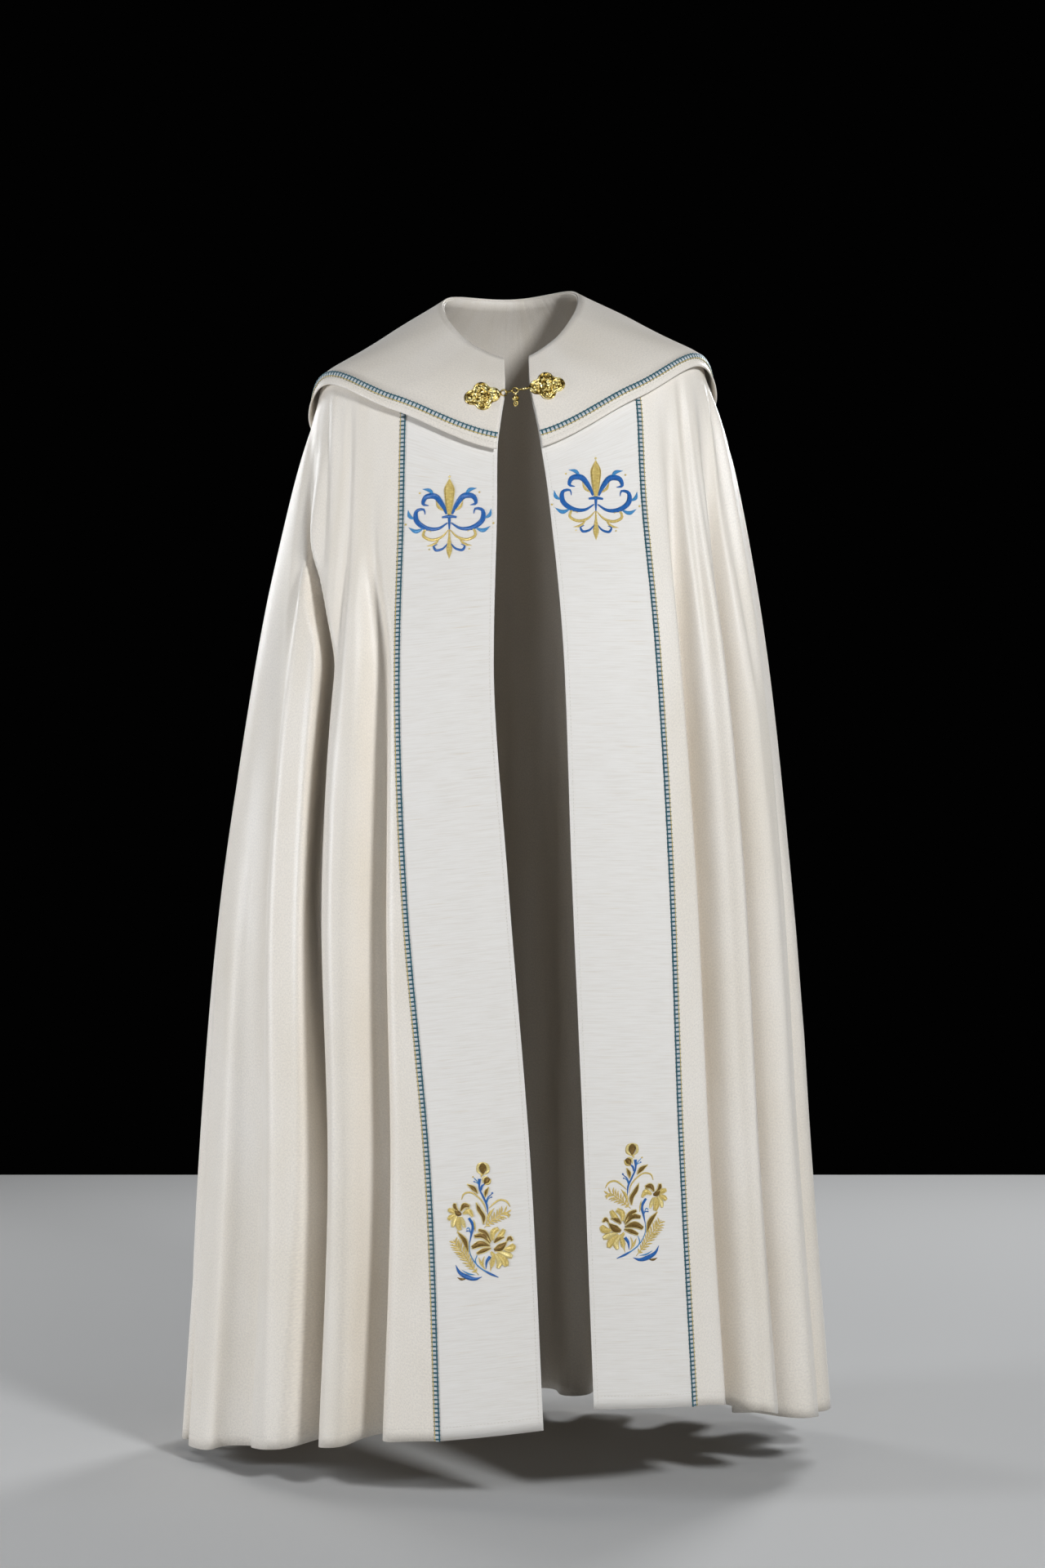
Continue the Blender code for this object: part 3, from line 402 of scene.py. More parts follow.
# %% [markdown]
# ## Three surfaces
# The bands are stiffened and hang nearly flat, the body hangs in folds, and the collar lies over both.
# One function gives the bands and the body, so that their seams meet.

# %% The front bands, the cloth and the collar
def clockwise(side, angle):
    """An angle from the front on one side, as an angle clockwise from the front."""
    return angle if side == "left" else 360 - angle


def band_point(side, across, level):
    """A front band, from its inner edge (across 0) to its seam (across 1).

    Down to the collar's edge it follows the ring; from the elbow down it is nearly flat, bowed by BAND_BOW.
    """
    edge_x = at_level(BANDS, "edge_" + side, level)
    seam_turn = clockwise(side, seam_angle(side, level))
    edge_turn = clockwise(side, front_angle(side, edge_x, level))
    seam_x, seam_y = (
        remembered(("seam", axis, side),
                   lambda steps: folded_plan(clockwise(side, seam_angle(side, steps)), steps)[axis], level)
        for axis in (0, 1))
    x = edge_x + (seam_x - edge_x) * across
    here_turn = clockwise(side, front_angle(side, x, level))
    flat = ease((level - 2.5) / 2)
    edge_y = ring_plan(edge_turn, level)[1]
    flat_y = edge_y + (seam_y - edge_y) * across - BAND_BOW * np.sin(np.pi * across)
    y = flat_y * flat + ring_plan(here_turn, level)[1] * (1 - flat)
    flat_z = ring_height(edge_turn, level) * (1 - across) + ring_height(seam_turn, level) * across
    z = flat_z * flat + ring_height(here_turn, level) * (1 - flat)
    z = z + BAND_RISE * (1 - across) * (level / 8) ** 2
    return x, y, z


def cloth_point(u, level):
    """Middle surface of the cloth: the left band at u from 0 to 1, the body to 2 and the right band to 3."""
    u, level = np.broadcast_arrays(np.asarray(u, float), np.asarray(level, float))
    place = np.zeros(u.shape + (3,))
    left = u < 1
    right = u > 2
    body = ~(left | right)
    if left.any():
        place[left] = np.stack(band_point("left", np.clip(u[left], 0, 1), level[left]), axis=-1)
    if right.any():
        place[right] = np.stack(band_point("right", np.clip(3 - u[right], 0, 1), level[right]), axis=-1)
    if body.any():
        start = seam_angle("left", level[body])
        end = 360 - seam_angle("right", level[body])
        angle = start + (end - start) * (u[body] - 1)
        plan = folded_plan(angle, level[body])
        place[body] = np.stack([*plan, ring_height(angle, level[body])], axis=-1)
    x, y, z = place[..., 0], place[..., 1], place[..., 2]
    near_band = ease((np.abs(u - 1.5) - 0.5 + TWIST_FADE) / TWIST_FADE)
    z = z + BAND_TWIST * np.sign(u - 1.5) * near_band * (level / 8) ** 2
    z = z + LEAN * x
    return np.stack([x, y, z], axis=-1)


def collar_point(across, level):
    """Middle surface of the collar, from its left front edge (across 0) round the back to its right one."""
    across, level = np.broadcast_arrays(np.asarray(across, float), np.asarray(level, float))
    start = front_angle("left", at_level(BANDS, "edge_left", level), level)
    end = 360 - front_angle("right", at_level(BANDS, "edge_right", level), level)
    angle = start + (end - start) * across
    x, y = ring_plan(angle, level)
    lift = through([0, 1, 2, 3], COLLAR_LIFT, level)
    rise = ring_height(angle, level)
    out = unit(np.stack([x, y - at_level(RINGS, "y_wide", level), LIFT_CENTRE_DROP + 0 * x], axis=-1))
    return np.stack([x, y, rise + LEAN * x], axis=-1) + out * lift[..., None]


# %% [markdown]
# A wall, a braid or a stitch is placed by the direction in which the surface faces.

# %% Directions on a surface
def along_surface(surface, u, v, distance, step=0.0002):
    """The change in u that moves a point this far across the surface."""
    side = np.sign(distance)
    pace = np.linalg.norm(surface(u + side * step, v) - surface(u, v), axis=-1) / step
    return distance / pace


def normals_of(surface, u, v, reach=0.6 * MM, step_v=0.005):
    """Unit normals of a surface function, outwards; on a seam, halfway between its two sides."""
    here = surface(u, v)
    ahead = unit(surface(u + along_surface(surface, u, v, reach), v) - here)
    behind = unit(here - surface(u + along_surface(surface, u, v, -reach), v))
    down = surface(u, v + step_v) - surface(u, v - step_v)
    return unit(np.cross(ahead + behind, down))


def face_of(surface, u, v, lift):
    """Points this far outside a surface, and the normals there."""
    normals = normals_of(surface, u, v)
    return surface(u, v) + normals * lift, normals


def even_columns(surface, start, end, count, levels, tries=1200):
    """Values of u between start and end, evenly spaced along the surface's length at these levels."""
    fine = np.linspace(start, end, tries)
    length = np.zeros(len(fine))
    for level in levels:
        points = surface(fine, level + 0 * fine)
        length[1:] += np.cumsum(np.linalg.norm(np.diff(points, axis=0), axis=-1))
    return np.interp(np.linspace(0, length[-1], count), length, fine)


# %% [markdown]
# ## Turning arrays into meshes
# A grid of points becomes a mesh in one step, because Blender takes whole arrays of points and faces.
# A cloth is a closed shell: an outer grid, an inner one and a rim.
# Its UV map is in metres, across and down the cloth, so a weave keeps its scale wherever the cloth goes.

# %% Meshes from arrays
def add_piece(name, points, faces, uv, look, slot_name):
    """Smooth mesh piece from points, face arrays of one corner count each, and a UV place for each point."""
    points = np.asarray(points, np.float32)
    corners = np.concatenate([group.ravel() for group in faces]).astype(np.int32)
    sizes = np.concatenate([np.full(len(group), group.shape[1]) for group in faces])
    mesh = bpy.data.meshes.new(name)
    mesh.vertices.add(len(points))
    mesh.vertices.foreach_set("co", points.ravel())
    mesh.loops.add(len(corners))
    mesh.loops.foreach_set("vertex_index", corners)
    mesh.polygons.add(len(sizes))
    mesh.polygons.foreach_set("loop_start", (np.cumsum(sizes) - sizes).astype(np.int32))
    mesh.polygons.foreach_set("use_smooth", np.ones(len(sizes), bool))
    mesh.update(calc_edges=True)
    layer = mesh.uv_layers.new(name="UVMap")
    layer.data.foreach_set("uv", np.asarray(uv, np.float32)[corners].ravel())
    mesh.materials.append(look)
    made = bpy.data.objects.new(name, mesh)
    bpy.context.scene.collection.objects.link(made)
    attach(made, "root")
    return made


def grid_faces(rows, columns, first=0, closed_rows=False, closed_columns=False):
    """Quads of a grid of points, each going right and then down; a closed way joins its end to its start."""
    index = np.arange(rows * columns).reshape(rows, columns) + first
    if closed_rows:
        index = np.concatenate([index, index[:1]])
    if closed_columns:
        index = np.concatenate([index, index[:, :1]], axis=1)
    corners = [index[:-1, :-1], index[:-1, 1:], index[1:, 1:], index[1:, :-1]]
    return np.stack(corners, axis=-1).reshape(-1, 4)


def capped(rows, sides, count):
    """Faces of rings of points, one after another, whose ends close to the last two of all the points."""
    near = np.arange(sides)
    far = np.roll(near, -1)
    last = (rows - 1) * sides
    start = np.stack([far, near, np.full(sides, count - 2)], axis=-1)
    end = np.stack([near + last, far + last, np.full(sides, count - 1)], axis=-1)
    return [grid_faces(rows, sides, closed_columns=True), np.concatenate([start, end])]


def turned_over(faces):
    """The faces, each looking the other way."""
    return [group[:, ::-1] for group in faces]


def lengths_along(points, axis):
    """Distance travelled from the start of a grid along one of its two ways."""
    steps = np.linalg.norm(np.diff(points, axis=axis), axis=-1)
    start = np.zeros_like(np.take(steps, [0], axis=axis))
    return np.concatenate([start, np.cumsum(steps, axis=axis)], axis=axis)


def shell(name, middle, normals, thickness, look, slot_name, straight=False):
    """Closed cloth: the middle grid moved half the thickness out and in along its normals, and a rim.

    The UV place is the distance across at the middle row's scale, and the distance down its own column,
    or down the middle column where the threads run straight along the rows.
    """
    rows, columns = middle.shape[:2]
    outer = (middle + normals * thickness / 2).reshape(-1, 3)
    inner = (middle - normals * thickness / 2).reshape(-1, 3)
    across = lengths_along(middle, 1)[rows * 3 // 4][None, :] + np.zeros((rows, 1))
    down = lengths_along(middle, 0)
    if straight:
        down = down[:, columns // 2][:, None] + np.zeros((rows, columns))
    uv = np.stack([across, down], axis=-1).reshape(-1, 2)
    front = grid_faces(rows, columns)
    index = np.arange(rows * columns).reshape(rows, columns)
    rim = np.concatenate([index[0, :-1], index[:-1, -1], index[-1, :0:-1], index[:0:-1, 0]])
    ahead = np.roll(rim, -1)
    sides = np.stack([rim, rim + index.size, ahead + index.size, ahead], axis=-1)
    faces = [front, front[:, ::-1] + index.size, sides]
    return add_piece(name, np.concatenate([outer, inner]), faces, np.concatenate([uv, uv]), look, slot_name)


def sheet_size(middle):
    """Width, length and area of a grid: its widest row, its longest column and the sum of its quads."""
    width = lengths_along(middle, 1)[:, -1].max()
    length = lengths_along(middle, 0)[-1].max()
    one = np.cross(middle[1:, 1:] - middle[:-1, :-1], middle[1:, :-1] - middle[:-1, 1:])
    return width, length, np.linalg.norm(one, axis=-1).sum() / 2


# %% [markdown]
# ## Finishes
# Each finish is a small graph of nodes. The weave, the slubs and the thread direction come from patterns
# on the UV map, which is in metres, and they feed the colour, the roughness and the bump.

# %% Helpers for node graphs
def new_look(name, roughness, metallic=0.0, sheen=0.0, specular=0.5):
    """A material whose even values are set on the shader's own sockets."""
    look = bpy.data.materials.new(name)
    look.use_nodes = True
    shader = look.node_tree.nodes["Principled BSDF"]
    shader.inputs["Roughness"].default_value = roughness
    shader.inputs["Metallic"].default_value = metallic
    shader.inputs["Sheen Weight"].default_value = sheen
    shader.inputs["Sheen Roughness"].default_value = 0.4
    shader.inputs["Specular IOR Level"].default_value = specular
    return look


def add_node(look, kind, sockets=None, **settings):
    """A node of this kind. Each socket takes a value, or a link from another node's first output."""
    made = look.node_tree.nodes.new("ShaderNode" + kind)
    for name, value in settings.items():
        setattr(made, name, value)
    for name, value in (sockets or {}).items():
        if isinstance(value, bpy.types.Node):
            look.node_tree.links.new(value.outputs[0], made.inputs[name])
        else:
            made.inputs[name].default_value = value
    return made


def place(look, scale):
    """The UV map, in metres, times a scale along each way."""
    uv = add_node(look, "UVMap", uv_map="UVMap")
    return add_node(look, "Mapping", {0: uv, "Scale": (scale[0], scale[1], 1)})


def noise(look, scale, detail=2.0, rough=0.5, warp=0.0):
    """Cloudy pattern with this many lumps a metre, across and down."""
    return add_node(look, "TexNoise", {"Vector": place(look, scale), "Scale": 1.0, "Detail": detail,
                                       "Roughness": rough, "Distortion": warp})


def threads(look, turn, pitch):
    """Even lines at this pitch in metres, turned by an angle on the cloth."""
    uv = add_node(look, "UVMap", uv_map="UVMap")
    turned = add_node(look, "Mapping", {0: uv, "Rotation": (0, 0, np.radians(turn))})
    return add_node(look, "TexWave", {"Vector": turned, "Scale": 2 * np.pi / (20 * pitch), "Distortion": 0.4,
                                      "Detail": 0.0}, wave_type="BANDS", bands_direction="X")


def ramp(look, source, stops):
    """Colours at places along a pattern's value."""
    made = add_node(look, "ValToRGB", {0: source})
    elements = made.color_ramp.elements
    while len(elements) < len(stops):
        elements.new(0.5)
    for element, (at, colour) in zip(elements, stops):
        element.position = at
        element.color = tuple(colour) + (1.0,)
    return made


def spread(look, source, low, high):
    """A pattern's value moved from 0 to 1 onto low to high."""
    return add_node(look, "MapRange", {0: source, "To Min": low, "To Max": high})


def multiplied(look, share, colour, shade):
    """A colour pattern times a share of a second pattern: a grain on the satin, slubs on the slub cloth, and
    painted shade between the ridges of the threads. The mix node's third output is its colour.
    """
    made = add_node(look, "Mix", {0: share, 6: colour, 7: shade}, data_type="RGBA", blend_type="MULTIPLY")
    passed = look.node_tree.nodes.new("NodeReroute")
    look.node_tree.links.new(made.outputs[2], passed.inputs[0])
    return passed


def bump(look, source, height, strength, below=None):
    """Bump of this height in metres; below is a coarser bump that it lies on."""
    made = add_node(look, "Bump", {"Height": source, "Distance": height, "Strength": strength})
    if below is not None:
        look.node_tree.links.new(below.outputs[0], made.inputs["Normal"])
    return made


def finish(look, colour=None, rough=None, normal=None):
    """Links patterns to the shader and returns the finished material."""
    shader = look.node_tree.nodes["Principled BSDF"]
    for socket, source in (("Base Color", colour), ("Roughness", rough), ("Normal", normal)):
        if source is not None:
            look.node_tree.links.new(source.outputs[0], shader.inputs[socket])
    return look


# %% [markdown]
# ### Cream satin
# Satin shows long floats of thread, so it is smooth with a broad shine, and it carries a fine crepe grain.
# Its cream is warmer than it looks in the light: light that bounces deep in a fold is tinted each time,
# which is what makes the valleys of the real cloth tan.

# %% Satin
SATIN_LIGHT = (0.88, 0.820, 0.735)
SATIN_DARK = (0.83, 0.760, 0.655)


def satin_look(name):
    """Cream satin: cloudy tone, a fine grain, soft streaks down the cloth and a faint twill."""
    look = new_look(name, 0.43, sheen=0.15, specular=0.5)
    clouds = noise(look, (9, 5), 3)
    tone = ramp(look, clouds, [(0.3, SATIN_DARK), (0.7, SATIN_LIGHT)])
    grain = noise(look, (520, 420), 2, 0.6)
    speck = ramp(look, grain, [(0.3, (0.86, 0.86, 0.87)), (0.65, (1.0, 1.0, 1.0))])
    colour = multiplied(look, 1.0, tone, speck)
    streaks = noise(look, (160, 7), 3)
    gloss = spread(look, streaks, 0.36, 0.50)
    soft = bump(look, noise(look, (26, 12), 3, 0.5, 0.4), 2.2 * MM, 0.28)
    fine = bump(look, grain, 0.35 * MM, 0.35, soft)
    twill = bump(look, threads(look, 55, 0.9 * MM), 0.12 * MM, 0.25, fine)
    return finish(look, colour, gloss, twill)


satin = satin_look("cream_satin")

# %% [markdown]
# ### Slub cloth
# The front bands are a plain weave whose weft has thick and thin places, called slubs.
# They run straight across the band as short fine streaks, some of them a little tan.

# %% Slub cloth
def slub_look(name):
    """Cream slub weave: long thin streaks across, fine threads both ways, and a few tan slubs."""
    look = new_look(name, 0.55, sheen=0.2, specular=0.35)
    streaks = noise(look, (24, 560), 3, 0.6)
    tone = ramp(look, streaks, [(0.25, (0.74, 0.695, 0.63)), (0.5, (0.80, 0.765, 0.715)),
                                (0.8, (0.84, 0.81, 0.765))])
    rare = ramp(look, noise(look, (16, 340), 2, 0.5), [(0.64, (1, 1, 1)), (0.76, (0.93, 0.89, 0.82))])
    colour = multiplied(look, 0.8, tone, rare)
    coarse = bump(look, streaks, 0.3 * MM, 0.4)
    weft = bump(look, threads(look, 90, 0.8 * MM), 0.15 * MM, 0.3, coarse)
    warp = bump(look, threads(look, 0, 1.0 * MM), 0.1 * MM, 0.25, weft)
    return finish(look, colour, spread(look, streaks, 0.48, 0.62), warp)


slub = slub_look("slub_cloth")

# %% [markdown]
# ### Threads of the braid and the embroidery
# Rayon thread is a shiny line, and stitched side by side it makes fine ridges across each shape. The grooves
# between the ridges are painted darker, as painted shade.
# Gold thread is a metal foil wound on a core, so it is partly metallic and speckled.

# %% Threads
def thread_look(name, dark, light, rough, metallic, pitch):
    """Stitched thread: ridges at a pitch along the shape, painted shade in the grooves between them, and
    each thread a little lighter or darker.
    """
    look = new_look(name, rough, metallic=metallic, sheen=0.0 if metallic else 0.3)
    tone = ramp(look, noise(look, (1100, 160), 2, 0.6), [(0.3, dark), (0.7, light)])
    ridges = threads(look, 0.0, pitch)
    # Painted shade: the colour is darker in the grooves between the ridges.
    shade = ramp(look, ridges, [(0.0, (0.72, 0.72, 0.72)), (0.6, (1, 1, 1))])
    return finish(look, multiplied(look, 0.8, tone, shade), None, bump(look, ridges, 0.25 * MM, 0.6))


THREAD_ROWS = named("name dark light rough metallic pitch", [
    ("blue_thread", (0.004, 0.060, 0.090), (0.014, 0.160, 0.210), 0.35, 0.0, 0.55 * MM),
    ("royal_thread", (0.003, 0.075, 0.330), (0.012, 0.190, 0.600), 0.32, 0.0, 0.5 * MM),
    ("sky_thread", (0.020, 0.200, 0.520), (0.080, 0.380, 0.720), 0.32, 0.0, 0.5 * MM),
    ("gold_thread", (0.60, 0.40, 0.09), (1.0, 0.80, 0.28), 0.28, 0.22, 0.5 * MM),
    ("pale_gold_thread", (0.80, 0.58, 0.16), (1.0, 0.88, 0.44), 0.32, 0.4, 0.5 * MM),
    ("umber_gold_thread", (0.12, 0.062, 0.010), (0.34, 0.20, 0.04), 0.38, 0.5, 0.5 * MM),
    ("silver_thread", (0.62, 0.64, 0.66), (0.90, 0.92, 0.94), 0.40, 0.15, 0.5 * MM),
    ("cream_thread", (0.66, 0.62, 0.54), (0.82, 0.78, 0.70), 0.5, 0.0, 0.5 * MM),
])
THREADS = {row["name"].split("_")[0]: thread_look(**row) for row in THREAD_ROWS}
print("threads:", ", ".join(THREADS))

# %% [markdown]
# ### Gilt metal
# Cast and polished. One fine pattern gives both its bumps and its colour: the colour is painted dark in the
# low places, as painted shade, and pale on the high places, as a painted highlight.

# %% Gilt metal
def gilt_look():
    """Polished gilt: bright yellow metal, painted dark in the low places of a fine bump as painted shade and
    pale on its high places as a painted highlight.
    """
    look = new_look("gilt_metal", 0.22, metallic=1.0)
    spots = add_node(look, "TexCoord")
    cloud = add_node(look, "TexNoise", {"Scale": 190.0, "Detail": 2.0})
    look.node_tree.links.new(spots.outputs["Object"], cloud.inputs["Vector"])
    # The ramp paints shade dark in the low places of the bump and a highlight pale on its high places.
    tone = ramp(look, cloud, [(0.40, (0.16, 0.10, 0.02)), (0.50, (0.86, 0.66, 0.22)),
                              (0.62, (1.0, 0.90, 0.50))])
    return finish(look, tone, spread(look, cloud, 0.50, 0.26), bump(look, cloud, 0.8 * MM, 0.6))


gilt = gilt_look()

# %% [markdown]
# ## The body, the bands and the collar
# The maker cuts the body in three gores, sewn where two of the valleys hide the seams.
# Each piece is the same surface, read on a finer grid than the plain solid's, with the small creases in.

# %% Cut the pieces
CLOTH_WALL = 1.4 * MM
COLLAR_WALL = 2.0 * MM
HALF_SEAM = 0.15 * MM
UNDER_ROWS = 14
OPEN_ROWS = 118
LEVELS = np.concatenate([np.linspace(0, 3, UNDER_ROWS, endpoint=False), np.linspace(3, 8, OPEN_ROWS)])
SPACING_LEVELS = [5.6, 6.6, 7.7]


def valley_u(name, level):
    """Value of u along which the cloth is cut at a valley."""
    fold = next(fold for fold in FOLDS if fold["name"] == name)
    start = seam_angle("left", level)
    end = 360 - seam_angle("right", level)
    return 1 + (fold_angle(fold, level) - start) / (end - start)


def panel_grid(start, end, columns):
    """Values of u and level on a panel between two lines of u, evenly spaced along the cloth."""
    start = start + 0 * LEVELS
    end = end + 0 * LEVELS
    row = np.searchsorted(LEVELS, 7.0)
    even = even_columns(cloth_point, start[row] + 1e-6, end[row] - 1e-6, columns, SPACING_LEVELS)
    share = (even - start[row]) / (end[row] - start[row])
    first = start + (along_surface(cloth_point, start, LEVELS, HALF_SEAM) if start[0] > 0 else 0)
    last = end + (along_surface(cloth_point, end, LEVELS, -HALF_SEAM) if end[0] < 3 else 0)
    u = first[:, None] + (last - first)[:, None] * share[None, :]
    return u, LEVELS[:, None] + 0 * u


def cloth_piece(name, start, end, columns, look, slot_name):
    """A panel of the cloth as a closed shell in place of its plain solid."""
    u, level = panel_grid(start, end, columns)
    middle = cloth_point(u, level)
    made = shell(name + "_cloth", middle, normals_of(cloth_point, u, level), CLOTH_WALL, look, slot_name,
                 straight=slot_name == "band")
    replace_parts(made, name)
    width, length, area = sheet_size(middle)
    print(f"{name}: cut from {width:.2f} x {length:.2f} m, {area:.2f} square metres")
    return made


left_join = valley_u(LEFT_JOIN, LEVELS)
right_join = valley_u(RIGHT_JOIN, LEVELS)
cloth_piece("body_left", 1, left_join, 236, satin, "cloth")
cloth_piece("body_back", left_join, right_join, 306, satin, "cloth")
cloth_piece("body_right", right_join, 2, 226, satin, "cloth")
cloth_piece("orphrey_left", 0, 1, 44, slub, "band")
cloth_piece("orphrey_right", 2, 3, 44, slub, "band")

# %% [markdown]
# The collar lies over the shoulders in one round piece. Its edge is turned under and pressed,
# so it ends in a soft roll that is thicker than the cloth.

# %% The collar
COLLAR_COLUMNS = 340
COLLAR_ROWS = 56
EDGE_ROLL = 0.8 * MM

across = even_columns(collar_point, 0, 1, COLLAR_COLUMNS, [2.6])
collar_levels = 3 * np.linspace(0, 1, COLLAR_ROWS) ** 0.8
collar_u, collar_level = np.meshgrid(across, collar_levels)
collar_middle = collar_point(collar_u, collar_level)
collar_normals = normals_of(collar_point, collar_u, collar_level)
from_edge = lengths_along(collar_middle[::-1], 0)[::-1]
pressed = 0.5 * MM * np.exp(-((from_edge - 9 * MM) / (1.2 * MM)) ** 2)
roll = EDGE_ROLL * np.exp(-(from_edge / (2.5 * MM)) ** 2) - pressed
collar_cloth = shell("collar_cloth", collar_middle + collar_normals * (roll / 2)[..., None], collar_normals,
                     COLLAR_WALL, satin, "cloth")
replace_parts(collar_cloth, "collar")
width, length, area = sheet_size(collar_middle)
print(f"collar: {width:.2f} m round its edge, {length:.2f} m deep, {area:.2f} square metres")

# %% [markdown]
# ## Ladder braid
# The braid is a narrow ladder: blue rungs over a silver ground, a blue cord along one side,
# a thin tan cord along the other, and small loops outside them, one for each rung.
# One rung is a few dozen faces. Arrays place it hundreds of times along a path.

# %% Small shapes and paths
def ball(rings, segments, squareness=1.0):
    """Unit ball with closed poles; below 1, squareness swells it towards a cushion."""
    tilt = np.linspace(0, np.pi, rings + 1)[1:-1]
    turn = np.arange(segments) * 2 * np.pi / segments

    def swell(value):
        return np.sign(value) * np.abs(value) ** squareness

    ring = np.stack([np.outer(swell(np.sin(tilt)), swell(np.cos(turn))),
                     np.outer(swell(np.sin(tilt)), swell(np.sin(turn))),
                     np.outer(swell(np.cos(tilt)), np.ones(segments))], axis=-1).reshape(-1, 3)
    points = np.concatenate([ring, [[0, 0, 1], [0, 0, -1]]])
    return points, turned_over(capped(rings - 1, segments, len(points)))


def join_parts(parts):
    """Points, faces and UV places of many parts put together as one."""
    points = np.concatenate([part[0] for part in parts])
    uv = np.concatenate([part[2] for part in parts])
    starts = np.cumsum([0] + [len(part[0]) for part in parts[:-1]])
    faces = []
    for corners in (3, 4):
        group = [face + start for part, start in zip(parts, starts)
                 for face in part[1] if face.shape[1] == corners]
        if group:
            faces.append(np.concatenate(group))
    return points, faces, uv


def copies(shape, size, places, along, side, out):
    """A small shape put at every place: its own X, Y and Z go along the path, to its side and outwards."""
    points, faces = shape
    local = points * np.asarray(size, float)
    put = (places[:, None, :] + local[None, :, 0:1] * along[:, None, :]
           + local[None, :, 1:2] * side[:, None, :] + local[None, :, 2:3] * out[:, None, :])
    step = np.arange(len(places)) * len(points)
    moved = [(face[None, :, :] + step[:, None, None]).reshape(-1, face.shape[1]) for face in faces]
    uv = np.tile(local[:, :2], (len(places), 1))
    return put.reshape(-1, 3), moved, uv


def tube(path, side, out, radius, sides=6):
    """Cord along a path: circles in the plane of its side and outward directions, closed at both ends."""
    turn = np.arange(sides) * 2 * np.pi / sides
    radius = np.broadcast_to(np.asarray(radius, float), (len(path),))
    ring = path[:, None, :] + radius[:, None, None] * (np.cos(turn)[None, :, None] * side[:, None, :]
                                                      + np.sin(turn)[None, :, None] * out[:, None, :])
    points = np.concatenate([ring.reshape(-1, 3), path[:1], path[-1:]])
    length = lengths_along(path, 0)
    uv = np.stack([np.repeat(length, sides), np.tile(turn * radius.mean(), len(path))], axis=-1)
    return points, capped(len(path), sides, len(points)), np.concatenate([uv, uv[:1], uv[-1:]])


def evenly(values, points, spacing):
    """Values along a path, read at even distances."""
    length = lengths_along(points, 0)
    count = max(2, int(round(length[-1] / spacing)) + 1)
    return np.interp(np.linspace(0, length[-1], count), length, values)


def directions(path, normals):
    """Directions along a path, to its side and outwards, each one long and square to the others."""
    along = unit(np.gradient(path, axis=0))
    side = unit(np.cross(normals, along))
    return along, side, np.cross(along, side)


def read_along(where, length, *rows):
    """Points or directions along a path, read at these distances from its start."""
    return [np.stack([np.interp(where, length, row[:, k]) for k in range(3)], axis=-1) for row in rows]


# %% Lay the braid
RUNG_PITCH = 5.4 * MM
CORD_FROM_MIDDLE = 2.9 * MM
LOOP_FROM_MIDDLE = 3.9 * MM
TAPE_LIFT = 0.45 * MM

small_ball = ball(4, 6)
cushion = ball(4, 8, 0.6)


def lay_braid(name, path, normals, tan_side):
    """Braid on a path that already lies at the middle of its tape: ground, rungs, cords and loops."""
    along, side, out = directions(path, normals)
    length = lengths_along(path, 0)
    at = np.arange(RUNG_PITCH / 2, length[-1] - RUNG_PITCH / 4, RUNG_PITCH)
    rung, run, aside, away = read_along(at, length, path, along, side, out)
    gap, gap_run, gap_aside, gap_away = read_along(at[:-1] + RUNG_PITCH / 2, length, path, along, side, out)
    blue = tan_side * -CORD_FROM_MIDDLE
    tan = tan_side * CORD_FROM_MIDDLE
    beat = 1 + 0.12 * np.cos(2 * np.pi * length / RUNG_PITCH * 2)
    blue_parts = [
        copies(cushion, (1.25 * MM, 2.8 * MM, 0.95 * MM), rung, run, aside, away),
        tube(path + side * blue, side, out, 0.85 * MM * beat),
        copies(small_ball, (0.8 * MM, 0.7 * MM, 0.6 * MM), rung + aside * blue * 1.3, run, aside, away),
        copies(small_ball, (0.7 * MM, 0.6 * MM, 0.6 * MM), rung + aside * tan * 1.3, run, aside, away),
    ]
    silver_parts = [
        copies(cushion, (1.35 * MM, 2.0 * MM, 0.75 * MM), gap, gap_run, gap_aside, gap_away),
        tube(path, side * 4.2, out, 0.62 * MM),
    ]
    tan_parts = [tube(path + side * tan, side, out, 0.5 * MM * beat)]
    blue_piece = add_piece(name + "_rungs", *join_parts(blue_parts), THREADS["blue"], "braid")
    silver_piece = add_piece(name + "_ground", *join_parts(silver_parts), THREADS["silver"], "braid")
    add_piece(name + "_edge", *join_parts(tan_parts), THREADS["gold"], "braid")
    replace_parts(silver_piece, name)
    print(f"{name}: {length[-1]:.2f} m with {len(at)} rungs, {len(blue_piece.data.polygons)} faces in blue")


def seam_path(seam, top):
    """Points and normals down a band's seam, lifted onto the cloth's outer face."""
    level = np.linspace(top, 8, 900)
    level = evenly(level, cloth_point(seam, level), 2.5 * MM)
    return face_of(cloth_point, seam + 0 * level, level, CLOTH_WALL / 2 + TAPE_LIFT)


for name, seam, tan_side in (("braid_left", 1, -1), ("braid_right", 2, 1)):
    path, normals = seam_path(seam, 2.4)
    lay_braid(name, path, normals, tan_side)

# %% Lay the collar's braid
BRAID_INSET = 21.0 * MM


def collar_line(inset, count=1400):
    """Points and normals round the collar at a distance in from its edge, on its outer face."""
    across = np.linspace(0, 1, count)
    edge = 3 + 0 * across
    pace = np.linalg.norm(collar_point(across, edge) - collar_point(across, edge - 0.05), axis=-1) / 0.05
    level = edge - inset / pace
    across = evenly(across, collar_point(across, level), 2.5 * MM)
    level = 3 - inset / np.interp(across, np.linspace(0, 1, count), pace)
    return face_of(collar_point, across, level, COLLAR_WALL / 2)


path, normals = collar_line(BRAID_INSET)
lay_braid("braid_collar", path + normals * TAPE_LIFT, normals, 1)

